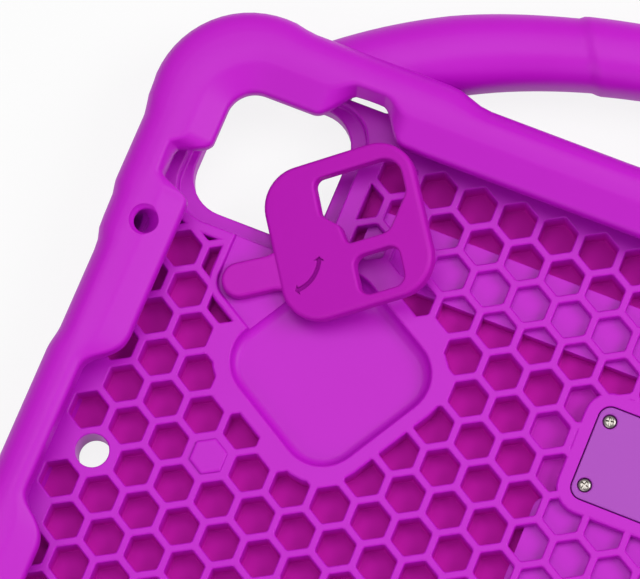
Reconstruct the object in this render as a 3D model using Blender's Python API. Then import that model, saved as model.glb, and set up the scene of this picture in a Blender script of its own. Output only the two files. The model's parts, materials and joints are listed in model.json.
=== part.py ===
"""Foam carrying case for a 13-inch tablet, lying on its back with the screen side up.

One foam moulding holds the bumper, the lip, the honeycomb bed and the handle. A foam insert
swivels on a stud between the camera opening and a storage recess, and a hinged leg folds out
of the back. The case frame has x along the long side, y towards the handle, z out of the
screen, and z = 0 on top of the honeycomb.
"""

import math

import bmesh
import bpy
import numpy as np

# Tablet pocket
TABLET_LENGTH = 0.2806
TABLET_WIDTH = 0.2149
POCKET_CLEARANCE = 0.00075
POCKET_DEPTH = 0.0076
POCKET_CORNER = 0.017
POCKET_HALF_X = TABLET_LENGTH / 2 + POCKET_CLEARANCE
POCKET_HALF_Y = TABLET_WIDTH / 2 + POCKET_CLEARANCE

# Bumper and retaining lip
BUMPER_WIDTH = 0.0091
BUMPER_TOP = 0.0140
BUMPER_BOTTOM = -0.0108
BUMPER_CORNER = 0.027
LIP_REACH = 0.0087
LIP_EDGE_TOP = 0.0109
LIP_CREASE_TOP = 0.0132
LIP_CORNER = 0.0080
LIP_CREASE = 0.0031
CORNER_BULGE = 0.0032
LONG_SIDE_BULGE = 0.0022
SHORT_SIDE_BULGE = 0.0009
CORNER_STEPS = 4
WALL_FOOT = 0.0020
FOOT_REACH = 0.0026
FOOT_RISE = 0.0012
RIM_INNER = 0.0011
RIM_OUTER_INSET = 0.0035
LOW_SHOULDER_INSET = 0.0009
LOW_SHOULDER_RISE = 0.0028
SIDE_LOW = -0.0030
SIDE_HIGH = 0.0052
HIGH_SHOULDER_INSET = 0.0010
HIGH_SHOULDER_DROP = 0.0040
CROWN_EDGE_INSET = 0.0036
CROWN_EDGE_DROP = 0.0010
CROWN_INNER = 0.0016
SLAB_SINK = 0.0030
SLAB_CORNER = 0.020

# Waves in the bumper's outer face, as places from the middle of a side
WAVE_END = 0.026
LONG_WAVE = (0.022, 0.030, 0.0726, 0.078)
SHORT_WAVE = (0.020, 0.025, 0.050, 0.060)

# Honeycomb bed
BED_THICKNESS = 0.0087
CELL_PITCH = 0.01083
CELL_ACROSS = 0.0090
CELL_DEPTH = 0.0065
SHALLOW_DEPTH = 0.0028
FIELD_LEFT_MARGIN = 0.0053
FIELD_RIGHT_MARGIN = 0.0150
FIELD_TOP_MARGIN = 0.0140
FIELD_LOW_MARGIN = 0.0500
LEAST_CELL_SHARE = 0.45
PROBE_OUTER = 0.0038
PROBE_INNER = 0.0018
PAD_RISE = 0.0004
PAD_DEPTH = 0.0010
PAD_COLUMN = -9.5
CUTTER_RISE = 0.0010

# Camera opening, its seat, and the storage recess
CAMERA_FROM_END = 0.02365
CAMERA_FROM_TOP = 0.02280
CAMERA_X = CAMERA_FROM_END - POCKET_HALF_X
CAMERA_Y = POCKET_HALF_Y - CAMERA_FROM_TOP
CAMERA_OPENING = 0.0354
CAMERA_OPENING_CORNER = 0.0092
INSERT_SIZE = 0.0400
INSERT_CORNER = 0.0097
INSERT_THICKNESS = 0.0038
SEAT_CLEARANCE = 0.00075
SEAT_DEPTH = 0.0036
SEAT_RIM = 0.0033
STORAGE_RIM = 0.0025
SHELF_RIM = 0.0022
SWIVEL_SWING = 120.0
SWIVEL_OPEN_ANGLE = 51.0
SEAT_SIZE = INSERT_SIZE + 2 * SEAT_CLEARANCE
SEAT_CORNER = INSERT_CORNER + SEAT_CLEARANCE

# Insert tab and stud
PIVOT_OFF_X = 0.0043
PIVOT_OFF_Y = -0.0317
TAB_WIDTH = 0.0090
TAB_THICKNESS = 0.0033
STUD_RADIUS = 0.0022
STUD_HEAD_RADIUS = 0.0036
STUD_HEAD_THICKNESS = 0.0012
STUD_WEB = 0.0030
TAB_OVERLAP = 0.0015
INSERT_ROUNDING = 0.0008
SHELF_DEPTH = 0.0018
SHELF_SIDE = 0.0056
SHELF_LENGTH = 0.0140
RUNNING_GAP = 0.0003

# Insert windows
LARGE_WINDOW = (
    (-0.0150, -0.0056),
    (0.0036, -0.0058),
    (0.0035, 0.0092),
    (-0.0020, 0.0160),
    (-0.0152, 0.0148),
)
LARGE_WINDOW_RADII = (0.0022, 0.0030, 0.0032, 0.0022, 0.0052)
SMALL_WINDOW_X = 0.0127
SMALL_WINDOW_Y = 0.0033
SMALL_WINDOW_WIDTH = 0.0090
SMALL_WINDOW_HEIGHT = 0.0106
SMALL_WINDOW_CORNER = 0.0022

# Retaining plate, screws and their boss
PLATE_Y = 0.0457
PLATE_WIDTH = 0.0347
PLATE_HEIGHT = 0.0249
PLATE_THICKNESS = 0.0020
PLATE_CORNER = 0.0030
PLATE_BORDER = 0.0038
SCREW_SPACING_X = 0.0282
SCREW_SPACING_Y = 0.0171
SCREW_HEAD_RADIUS = 0.00185
SCREW_HEAD_THICKNESS = 0.0012
SCREW_SHANK_RADIUS = 0.0010
SCREW_LENGTH = 0.0072

# Stand on the back
BACK_RECESS_DEPTH = 0.0037
RECESS_WALL = 0.0015
STAND_WIDTH = 0.0436
STAND_SIDE_GAP = 0.0008
STAND_FOOT_Y = -0.0980
BRACKET_HEIGHT = 0.0300
BRACKET_THICKNESS = 0.0032
STAND_CORNER = 0.0040
STAND_FOOT_CORNER = 0.010
STAND_TAPER_Y = -0.0300
STAND_TAPER_CORNER = 0.020
SHALLOW_FROM_PLATE = 0.0018
SHALLOW_LENGTH = 0.0600
PAD_TOP_Y = -0.0080
PAD_FOOT_Y = -0.1020
POST_RADIUS = 0.0025
KNUCKLE_FOOT = 0.0020
KNUCKLE_INSET = 0.0004
LEG_CLEARANCE = 0.0005
KNUCKLE_RADIUS = 0.0023
LEG_KNUCKLE_LENGTH = 0.0180
BRACKET_KNUCKLE_LENGTH = 0.0080
PIN_RADIUS = 0.0010
LEG_THICKNESS = 0.0030
LEG_FOOT_WIDTH = 0.0340
LEG_WINDOW_WIDTH = 0.0200
LEG_WINDOW_LENGTH = 0.0560
LEG_WINDOW_FROM_FOOT = 0.0160
THUMB_NOTCH_RADIUS = 0.0090

# Shallow band above the stand, and the recess behind it, smaller by its wall
BAND_FROM_TOP = 0.0321
BAND_Y = POCKET_HALF_Y - BAND_FROM_TOP
BAND_HEIGHT = 0.0167
BAND_FROM_END = 0.05225
BAND_HALF_LENGTH = POCKET_HALF_X - BAND_FROM_END
BAND_CORNER = 0.0040

# Handle
HANDLE_RISE = 0.0379
HANDLE_APEX_Y = POCKET_HALF_Y + HANDLE_RISE
HANDLE_MID_Z = 0.0010
HANDLE_HALF_WIDTH = 0.0100
HANDLE_HALF_HEIGHT = 0.0086
HANDLE_SWELL = 0.0011
GRIP_HALF_LENGTH = 0.0530
GRIP_STEP = 0.0025
GRIP_ARC_RADIUS = 0.266
GRIP_ARC_HALF = 0.060
LEG_ARC_RADIUS = 0.105
LEG_ARC_END_ANGLE = 52.0
HANDLE_ROOT_DEPTH = 0.0016
HANDLE_SIDES = 12

# Openings in the bumper
POWER_FROM_TOP = 0.0334
POWER_Y = POCKET_HALF_Y - POWER_FROM_TOP
POWER_WIDTH = 0.0114
POWER_SIDE_SLOPE = 0.0018
POWER_THROAT_IN = 0.0008
POWER_SILL = 0.0007
POWER_WINDOW_DEPTH = 0.0050
VOLUME_FROM_END = 0.04215
VOLUME_X = VOLUME_FROM_END - POCKET_HALF_X
VOLUME_MOUTH = 0.0204
VOLUME_THROAT = 0.0100
VOLUME_THROAT_OUT = 0.0012
VOLUME_SILL_IN = 0.0002
VOLUME_WINDOW_DEPTH = 0.0043
NOTCH_FLOOR = 0.0012
NOTCH_CORNER = 0.0014
NOTCH_TIP_CORNER = 0.0004
WINDOW_TOP = 0.0086
WINDOW_CORNER = 0.0012
WINDOW_SIDE_IN = 0.0003
SIDE_NOTCH_OUT = 0.0004
SIDE_NOTCH_SINK = 0.0009
SIDE_NOTCH_CORNER = 0.0060
LIP_OVERCUT = 0.0010
SIDE_NOTCH_THROAT = 0.0396
SIDE_NOTCH_MOUTH = 0.0540
PORT_WIDTH = 0.0240
PORT_LOW = 0.0004
PORT_HIGH = 0.0072
PORT_CORNER = 0.0025
PORT_START_IN = 0.0030
CORD_HOLE_RADIUS = 0.0033
CORD_HOLE_FROM_TOP = 0.0515
CORD_HOLE_Y = POCKET_HALF_Y - CORD_HOLE_FROM_TOP
CORD_HOLE_SET_IN = 0.0008
PUSH_HOLE_FROM_END = 0.0100
PUSH_HOLE_RADIUS = 0.0047
PUSH_HOLE_X = -CELL_PITCH * math.floor((POCKET_HALF_X - PUSH_HOLE_FROM_END) / CELL_PITCH)
ROW_PITCH = CELL_PITCH * math.sqrt(3) / 2
FILLED_CELL = (PAD_COLUMN * CELL_PITCH, ROW_PITCH)

BED_BACK = -BED_THICKNESS
RECESS_FLOOR_BACK = BED_BACK + BACK_RECESS_DEPTH
HINGE_Y = PLATE_Y - BRACKET_HEIGHT / 2 - KNUCKLE_RADIUS
HINGE_Z = RECESS_FLOOR_BACK - RUNNING_GAP - KNUCKLE_RADIUS
HANDLE_TOP = HANDLE_APEX_Y + HANDLE_HALF_WIDTH + HANDLE_SWELL
CASE_LOW_Y = -(POCKET_HALF_Y + BUMPER_WIDTH + CORNER_BULGE)
PIVOT_X = CAMERA_X + PIVOT_OFF_X
PIVOT_Y = CAMERA_Y + PIVOT_OFF_Y


def clear_scene():
    """Take away whatever the open file holds."""
    for old in list(bpy.data.objects):
        bpy.data.objects.remove(old, do_unlink=True)


def material(name, colour, roughness, metallic=0.0):
    """A Principled material in one colour."""
    made = bpy.data.materials.new(name)
    made.use_nodes = True
    shader = made.node_tree.nodes["Principled BSDF"]
    shader.inputs["Base Color"].default_value = (*colour, 1.0)
    shader.inputs["Roughness"].default_value = roughness
    shader.inputs["Metallic"].default_value = metallic
    return made


def add_object(name, shape, parent, finish=None):
    """Put a bmesh into the scene as an object with its faces pointing out."""
    bmesh.ops.recalc_face_normals(shape, faces=shape.faces)
    mesh = bpy.data.meshes.new(name)
    shape.to_mesh(mesh)
    shape.free()
    piece = bpy.data.objects.new(name, mesh)
    bpy.context.scene.collection.objects.link(piece)
    piece.parent = parent
    if finish is not None:
        mesh.materials.append(finish)
    return piece


def as_cutter(piece):
    """Mark an object as a tool that shapes another and isn't part of the case."""
    piece.hide_render = True
    piece.display_type = "WIRE"
    return piece


def combine(target, tool, operation):
    """Join a tool to a piece or cut it away."""
    step = target.modifiers.new(f"{operation.lower()} {tool.name}", "BOOLEAN")
    step.operation = operation
    step.solver = "EXACT"
    step.object = tool


def round_outline(corners, radii, steps):
    """Corner points joined by straight lines, with an arc of its own radius at each corner."""
    points = []
    count = len(corners)
    for index, radius in enumerate(radii):
        here = np.array(corners[index], float)
        back = np.array(corners[index - 1], float) - here
        ahead = np.array(corners[(index + 1) % count], float) - here
        back /= np.linalg.norm(back)
        ahead /= np.linalg.norm(ahead)
        half = math.acos(float(np.clip(back @ ahead, -1.0, 1.0))) / 2
        middle = (back + ahead) / np.linalg.norm(back + ahead)
        centre = here + middle * radius / math.sin(half)
        start = here + back * radius / math.tan(half) - centre
        end = here + ahead * radius / math.tan(half) - centre
        first = math.atan2(start[1], start[0])
        turn = (math.atan2(end[1], end[0]) - first + math.pi) % (2 * math.pi) - math.pi
        for step in range(steps + 1):
            angle = first + turn * step / steps
            points.append((centre[0] + radius * math.cos(angle), centre[1] + radius * math.sin(angle)))
    return points


def round_rectangle(centre, width, height, radius, steps=4, turn=0.0):
    """Rounded rectangle about a centre, turned by an angle in degrees."""
    signs = ((-1, -1), (1, -1), (1, 1), (-1, 1))
    corners = [(sign_x * width / 2, sign_y * height / 2) for sign_x, sign_y in signs]
    cos_turn = math.cos(math.radians(turn))
    sin_turn = math.sin(math.radians(turn))
    points = []
    for x, y in round_outline(corners, [radius] * 4, steps):
        points.append((centre[0] + x * cos_turn - y * sin_turn, centre[1] + x * sin_turn + y * cos_turn))
    return points


def arc(centre, radius, start, end, steps):
    """Points on an arc, with its angles in degrees."""
    angles = np.radians(np.linspace(start, end, steps + 1))
    return [(centre[0] + radius * math.cos(a), centre[1] + radius * math.sin(a)) for a in angles]


def circle(centre, radius, sides):
    """Points round a circle."""
    return arc(centre, radius, 0.0, 360.0 - 360.0 / sides, sides - 1)


def add_prism(shape, outline, low, high, axis="z"):
    """Extrude an outline between two levels along z, or along x where the outline is (y, z)."""
    rings = []
    for level in (low, high):
        if axis == "z":
            rings.append([shape.verts.new((x, y, level)) for x, y in outline])
        else:
            rings.append([shape.verts.new((level, y, z)) for y, z in outline])
    bottom, top = rings
    count = len(outline)
    shape.faces.new(bottom)
    shape.faces.new(top)
    for index in range(count):
        ahead = (index + 1) % count
        shape.faces.new((bottom[index], bottom[ahead], top[ahead], top[index]))


def prism(name, outline, low, high, parent, finish=None, axis="z"):
    """One extruded outline as an object."""
    shape = bmesh.new()
    add_prism(shape, outline, low, high, axis)
    return add_object(name, shape, parent, finish)


def add_loft(shape, rings, closed):
    """Skin a row of equal rings of points, closed on itself or capped at both ends."""
    rows = [[shape.verts.new(point) for point in ring] for ring in rings]
    sides = len(rows[0])
    spans = len(rows) if closed else len(rows) - 1
    for index in range(spans):
        here = rows[index]
        ahead = rows[(index + 1) % len(rows)]
        for side in range(sides):
            other = (side + 1) % sides
            shape.faces.new((here[side], here[other], ahead[other], ahead[side]))
    if not closed:
        shape.faces.new(rows[0])
        shape.faces.new(rows[-1])


def side_stations(offset_long, offset_short):
    """Stations round a rounded rectangle as (corner, angle) or (side, place) pairs, anticlockwise."""
    stations = []
    for side in range(4):
        places = offset_short if side % 2 == 0 else offset_long
        order = places if side in (0, 3) else places[::-1]
        stations += [("side", side, place) for place in order]
        stations += [("corner", side, 90.0 * step / CORNER_STEPS) for step in range(CORNER_STEPS + 1)]
    return stations


def outline_point(station, half_x, half_y, radius, bulge=None):
    """Where a station lies on a rounded rectangle whose sides may swell outwards."""
    kind, side, value = station
    if kind == "side":
        swell = bulge(side, value) if bulge else 0.0
        far_x = half_x + swell
        far_y = half_y + swell
        return ((far_x, value), (value, far_y), (-far_x, value), (value, -far_y))[side]
    swell = CORNER_BULGE if bulge else 0.0
    sign_x = (1, -1, -1, 1)[side]
    sign_y = (1, 1, -1, -1)[side]
    angle = math.radians(90.0 * side + value)
    centre_x = sign_x * (half_x + swell - radius)
    centre_y = sign_y * (half_y + swell - radius)
    return centre_x + radius * math.cos(angle), centre_y + radius * math.sin(angle)


def wave_places(side):
    """Places from the middle of a side where the wave in its outer face turns."""
    half, wave = (POCKET_HALF_Y, SHORT_WAVE) if side % 2 == 0 else (POCKET_HALF_X, LONG_WAVE)
    return [place for place in wave if place < half - WAVE_END] + [half - WAVE_END]


def bumper_swell(side, place):
    """How far the bumper swells beyond its plain width at a place along a side."""
    middle = SHORT_SIDE_BULGE if side % 2 == 0 else LONG_SIDE_BULGE
    turns = wave_places(side)
    swells = [middle, 0.0, 0.0, LONG_SIDE_BULGE][: len(turns) - 1] + [CORNER_BULGE]
    return float(np.interp(abs(place), turns, swells))


def bumper_section(wall, outer, lip):
    """Section of bumper and lip at one station, from the pocket wall round the outside to the lip."""
    wall = np.array(wall)
    outward = np.array(outer) - wall
    inward = np.array(lip) - wall
    width = float(np.linalg.norm(outward))
    reach = float(np.linalg.norm(inward))
    outward /= width
    inward /= reach
    profile = (
        (0.0, 0.0, POCKET_DEPTH),
        (0.0, 0.0, -WALL_FOOT),
        (0.0, FOOT_REACH, BED_BACK + FOOT_RISE),
        (RIM_INNER, 0.0, BUMPER_BOTTOM),
        (width - RIM_OUTER_INSET, 0.0, BUMPER_BOTTOM),
        (width - LOW_SHOULDER_INSET, 0.0, BUMPER_BOTTOM + LOW_SHOULDER_RISE),
        (width, 0.0, SIDE_LOW),
        (width, 0.0, SIDE_HIGH),
        (width - HIGH_SHOULDER_INSET, 0.0, BUMPER_TOP - HIGH_SHOULDER_DROP),
        (width - CROWN_EDGE_INSET, 0.0, BUMPER_TOP - CROWN_EDGE_DROP),
        (CROWN_INNER, 0.0, BUMPER_TOP),
        (0.0, LIP_CREASE, LIP_CREASE_TOP),
        (0.0, reach, LIP_EDGE_TOP),
        (0.0, reach, POCKET_DEPTH),
    )
    return [(*(wall + outward * out + inward * into), level) for out, into, level in profile]


def bumper_ring(parent):
    """Bumper and lip as one section carried round the tablet."""
    sides = []
    for side in (1, 0):
        turns = wave_places(side)
        sides.append([-place for place in turns[::-1]] + turns)
    stations = side_stations(*sides)
    rings = []
    for station in stations:
        wall = outline_point(station, POCKET_HALF_X, POCKET_HALF_Y, POCKET_CORNER)
        outer = outline_point(
            station, POCKET_HALF_X + BUMPER_WIDTH, POCKET_HALF_Y + BUMPER_WIDTH, BUMPER_CORNER, bumper_swell
        )
        lip = outline_point(station, POCKET_HALF_X - LIP_REACH, POCKET_HALF_Y - LIP_REACH, LIP_CORNER)
        rings.append(bumper_section(wall, outer, lip))
    shape = bmesh.new()
    add_loft(shape, rings, closed=True)
    return as_cutter(add_object("bumper_ring", shape, parent))


def handle_path():
    """Stations of the handle's middle line as (x, y, slope angle), from one root to the other."""
    meet = math.asin(GRIP_ARC_HALF / GRIP_ARC_RADIUS)
    meet_y = HANDLE_APEX_Y - GRIP_ARC_RADIUS * (1 - math.cos(meet))
    right = []
    ramp = GRIP_HALF_LENGTH + GRIP_STEP
    for x in (GRIP_HALF_LENGTH / 2, GRIP_HALF_LENGTH, ramp):
        angle = math.asin(x / GRIP_ARC_RADIUS)
        right.append((x, HANDLE_APEX_Y - GRIP_ARC_RADIUS * (1 - math.cos(angle)), angle))
    for angle in np.linspace(meet + math.radians(3.0), math.radians(LEG_ARC_END_ANGLE), 6):
        x = GRIP_ARC_HALF + LEG_ARC_RADIUS * (math.sin(angle) - math.sin(meet))
        y = meet_y - LEG_ARC_RADIUS * (math.cos(meet) - math.cos(angle))
        right.append((x, y, float(angle)))
    left = [(-x, y, -angle) for x, y, angle in right[::-1]]
    return left + [(0.0, HANDLE_APEX_Y, 0.0)] + right


def fuller(share):
    """Share of a half width, raised to make a section fuller than an ellipse."""
    return math.copysign(abs(share) ** 0.8, share)


def handle_bar(parent):
    """Handle as a rounded section along its arc, thicker over the grip, cut off inside the bumper."""
    rings = []
    for x, y, angle in handle_path():
        swell = HANDLE_SWELL if abs(x) <= GRIP_HALF_LENGTH + GRIP_STEP / 2 else 0.0
        ring = []
        for side in range(HANDLE_SIDES):
            turn = 2 * math.pi * side / HANDLE_SIDES
            across = fuller(math.cos(turn)) * (HANDLE_HALF_WIDTH + swell)
            up = fuller(math.sin(turn)) * (HANDLE_HALF_HEIGHT + swell)
            ring.append((x + across * math.sin(angle), y + across * math.cos(angle), HANDLE_MID_Z + up))
        rings.append(ring)
    shape = bmesh.new()
    add_loft(shape, rings, closed=False)
    everything = list(shape.verts) + list(shape.edges) + list(shape.faces)
    cut = bmesh.ops.bisect_plane(
        shape,
        geom=everything,
        plane_co=(0.0, POCKET_HALF_Y + HANDLE_ROOT_DEPTH, 0.0),
        plane_no=(0.0, -1.0, 0.0),
        clear_outer=True,
    )
    rim = [item for item in cut["geom_cut"] if isinstance(item, bmesh.types.BMEdge)]
    bmesh.ops.contextual_create(shape, geom=[edge for edge in rim if edge.verts[0].co.x < 0])
    bmesh.ops.contextual_create(shape, geom=[edge for edge in rim if edge.verts[0].co.x > 0])
    return as_cutter(add_object("handle_bar", shape, parent))


def shelf_outline(grow):
    """Floor that the insert's tab sweeps: a fan about the stud between its two end positions."""
    pivot = (PIVOT_X, PIVOT_Y)
    side = SHELF_SIDE + grow
    reach = math.hypot(side, SHELF_LENGTH + grow)
    spread = math.degrees(math.atan2(side, SHELF_LENGTH + grow))
    low = 90.0 - SWIVEL_SWING
    return arc(pivot, side, 180.0, 270.0 + low, 4) + arc(pivot, reach, low - spread, 90.0 + spread, 9)


def storage_centre():
    """Centre of the storage recess: the camera seat's centre swung about the stud."""
    swing = math.radians(-SWIVEL_SWING)
    off_x = -PIVOT_OFF_X * math.cos(swing) + PIVOT_OFF_Y * math.sin(swing)
    off_y = -PIVOT_OFF_X * math.sin(swing) - PIVOT_OFF_Y * math.cos(swing)
    return PIVOT_X + off_x, PIVOT_Y + off_y


def seat_outline(centre, grow, turn):
    """Outline of a seat for the insert, with room round it."""
    return round_rectangle(centre, SEAT_SIZE + 2 * grow, SEAT_SIZE + 2 * grow, SEAT_CORNER + grow, 4, turn)


def solid_areas():
    """Outlines inside which the bed has no cells: rims, shelf and plate border."""
    camera = (CAMERA_X, CAMERA_Y)
    border = 2 * PLATE_BORDER
    corner = PLATE_CORNER + PLATE_BORDER
    plate_rim = round_rectangle((0.0, PLATE_Y), PLATE_WIDTH + border, PLATE_HEIGHT + border, corner, 3)
    middle = (PAD_TOP_Y + PAD_FOOT_Y) / 2
    length = PAD_TOP_Y - PAD_FOOT_Y
    width = 2 * (stand_half_width() + RECESS_WALL)
    return {
        "camera_rim": seat_outline(camera, SEAT_RIM, 0.0),
        "storage_rim": seat_outline(storage_centre(), STORAGE_RIM, -SWIVEL_SWING),
        "shelf_rim": shelf_outline(SHELF_RIM),
        "plate_rim": plate_rim,
        "stand_pad": round_rectangle((0.0, middle), width, length, STAND_CORNER, 2),
    }


def stand_half_width():
    """Half the width of the recess that takes the stand."""
    return STAND_WIDTH / 2 + STAND_SIDE_GAP


def holds(outline, x, y):
    """Whether a point lies inside an outline."""
    inside = False
    for index, (x0, y0) in enumerate(outline):
        x1, y1 = outline[index - 1]
        if (y0 > y) != (y1 > y) and x < (x1 - x0) * (y - y0) / (y1 - y0) + x0:
            inside = not inside
    return inside


def cell_outline(x, y):
    """Hexagon of one cell, with a corner towards the handle."""
    corner = CELL_ACROSS / math.sqrt(3)
    return arc((x, y), corner, 30.0, 330.0, 5)


def cell_places(areas):
    """Centres of the cells, in rows half a pitch apart, that keep enough of their area."""
    top_row = math.floor((POCKET_HALF_Y - FIELD_TOP_MARGIN) / ROW_PITCH)
    low_row = math.ceil((FIELD_LOW_MARGIN - POCKET_HALF_Y) / ROW_PITCH)
    places = []
    for row in range(low_row, top_row + 1):
        shift = CELL_PITCH / 2 if row % 2 else 0.0
        first = math.ceil((FIELD_LEFT_MARGIN - POCKET_HALF_X - shift) / CELL_PITCH)
        last = math.floor((POCKET_HALF_X - FIELD_RIGHT_MARGIN - shift) / CELL_PITCH)
        for column in range(first, last + 1):
            x = column * CELL_PITCH + shift
            y = row * ROW_PITCH
            probes = circle((x, y), PROBE_OUTER, 8) + circle((x, y), PROBE_INNER, 4)
            free = [spot for spot in probes if not any(holds(area, *spot) for area in areas.values())]
            special = min(math.dist((x, y), place) for place in ((PUSH_HOLE_X, 0.0), FILLED_CELL))
            if len(free) >= LEAST_CELL_SHARE * len(probes) and special > CELL_PITCH / 2:
                places.append((x, y))
    return places


def honeycomb_cells(parent):
    """Cutter for all blind cells: deep, but shallow over the recesses in the back."""
    areas = solid_areas()
    shape = bmesh.new()
    for x, y in cell_places(areas):
        add_prism(shape, cell_outline(x, y), -CELL_DEPTH, CUTTER_RISE)
    cells = as_cutter(add_object("honeycomb_cells", shape, parent))
    below = -CELL_DEPTH - CUTTER_RISE
    above = 2 * CUTTER_RISE
    for name, outline in areas.items():
        if name != "stand_pad":
            combine(cells, as_cutter(prism(name, outline, below, above, parent)), "DIFFERENCE")
    band = round_rectangle((0.0, BAND_Y), 2 * BAND_HALF_LENGTH, BAND_HEIGHT, BAND_CORNER, 2)
    middle = PLATE_Y - PLATE_HEIGHT / 2 - SHALLOW_FROM_PLATE - SHALLOW_LENGTH / 2
    width = 2 * (stand_half_width() + RECESS_WALL)
    stand = round_rectangle((0.0, middle), width, SHALLOW_LENGTH, STAND_CORNER, 2)
    for name, outline in (("band_floor", band), ("stand_floor", stand)):
        combine(cells, as_cutter(prism(name, outline, below, -SHALLOW_DEPTH, parent)), "DIFFERENCE")
    return cells


def screw_places():
    """The four screw positions."""
    half_x = SCREW_SPACING_X / 2
    half_y = SCREW_SPACING_Y / 2
    return [(sx * half_x, PLATE_Y + sy * half_y) for sy in (1, -1) for sx in (-1, 1)]


def bed_cutters(parent):
    """Everything cut from the bed from the screen side, and the holes through it."""
    camera = (CAMERA_X, CAMERA_Y)
    through = BED_BACK - 2 * CUTTER_RISE
    opening = round_rectangle(camera, CAMERA_OPENING, CAMERA_OPENING, CAMERA_OPENING_CORNER, 5)
    gap = 2 * RUNNING_GAP
    corner = PLATE_CORNER + RUNNING_GAP
    plate = round_rectangle((0.0, PLATE_Y), PLATE_WIDTH + gap, PLATE_HEIGHT + gap, corner, 3)
    storage = seat_outline(storage_centre(), 0.0, -SWIVEL_SWING)
    cutters = [
        prism("camera_opening", opening, through, CUTTER_RISE, parent),
        prism("camera_seat", seat_outline(camera, 0.0, 0.0), -SEAT_DEPTH, CUTTER_RISE, parent),
        prism("storage_recess", storage, -SEAT_DEPTH, CUTTER_RISE, parent),
        prism("tab_shelf", shelf_outline(0.0), -SHELF_DEPTH, CUTTER_RISE, parent),
        prism("plate_seat", plate, -PLATE_THICKNESS - RUNNING_GAP, CUTTER_RISE, parent),
    ]
    stud_hole = circle((PIVOT_X, PIVOT_Y), STUD_RADIUS + RUNNING_GAP, 12)
    head_hole = circle((PIVOT_X, PIVOT_Y), STUD_HEAD_RADIUS + 2 * RUNNING_GAP, 16)
    head_floor = -SHELF_DEPTH - STUD_WEB
    push = circle((PUSH_HOLE_X, 0.0), PUSH_HOLE_RADIUS, 16)
    cutters += [
        prism("stud_hole", stud_hole, through, CUTTER_RISE, parent),
        prism("stud_head_hole", head_hole, through, head_floor, parent),
        prism("push_hole", push, through, CUTTER_RISE, parent),
    ]
    shape = bmesh.new()
    for place in screw_places():
        add_prism(shape, circle(place, POST_RADIUS + RUNNING_GAP, 12), through, CUTTER_RISE)
    cutters.append(add_object("post_holes", shape, parent))
    return [as_cutter(piece) for piece in cutters]


def stand_outline(narrow, wide, foot, taper, top):
    """Outline that is wide at the top and tapers to a rounded foot."""
    right = [(narrow, foot), (wide, taper), (wide, top)]
    left = [(-x, y) for x, y in right[::-1]]
    radii = [STAND_FOOT_CORNER, STAND_TAPER_CORNER, STAND_CORNER]
    return round_outline(right + left, radii + radii[::-1], 3)


def leg_recess_outline(grow):
    """Outline of bracket and leg together, tapering to the foot."""
    wide = STAND_WIDTH / 2 + grow
    narrow = LEG_FOOT_WIDTH / 2 + grow
    top = PLATE_Y + BRACKET_HEIGHT / 2 + grow
    foot = STAND_FOOT_Y - grow
    return stand_outline(narrow, wide, foot, STAND_TAPER_Y, top)


def back_cutters(parent):
    """Recesses in the back: the stand's, with its thumb notch, and the band above it."""
    low = BUMPER_BOTTOM - CUTTER_RISE
    length = 2 * (BAND_HALF_LENGTH - RECESS_WALL)
    height = BAND_HEIGHT - 2 * RECESS_WALL
    band = round_rectangle((0.0, BAND_Y), length, height, BAND_CORNER - RECESS_WALL, 3)
    thumb = circle((0.0, STAND_FOOT_Y), THUMB_NOTCH_RADIUS, 16)
    stand = leg_recess_outline(STAND_SIDE_GAP)
    return [
        as_cutter(prism("stand_recess", stand, low, RECESS_FLOOR_BACK, parent)),
        as_cutter(prism("thumb_notch", thumb, low, RECESS_FLOOR_BACK + RUNNING_GAP, parent)),
        as_cutter(prism("band_recess", band, low, RECESS_FLOOR_BACK, parent)),
    ]


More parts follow.
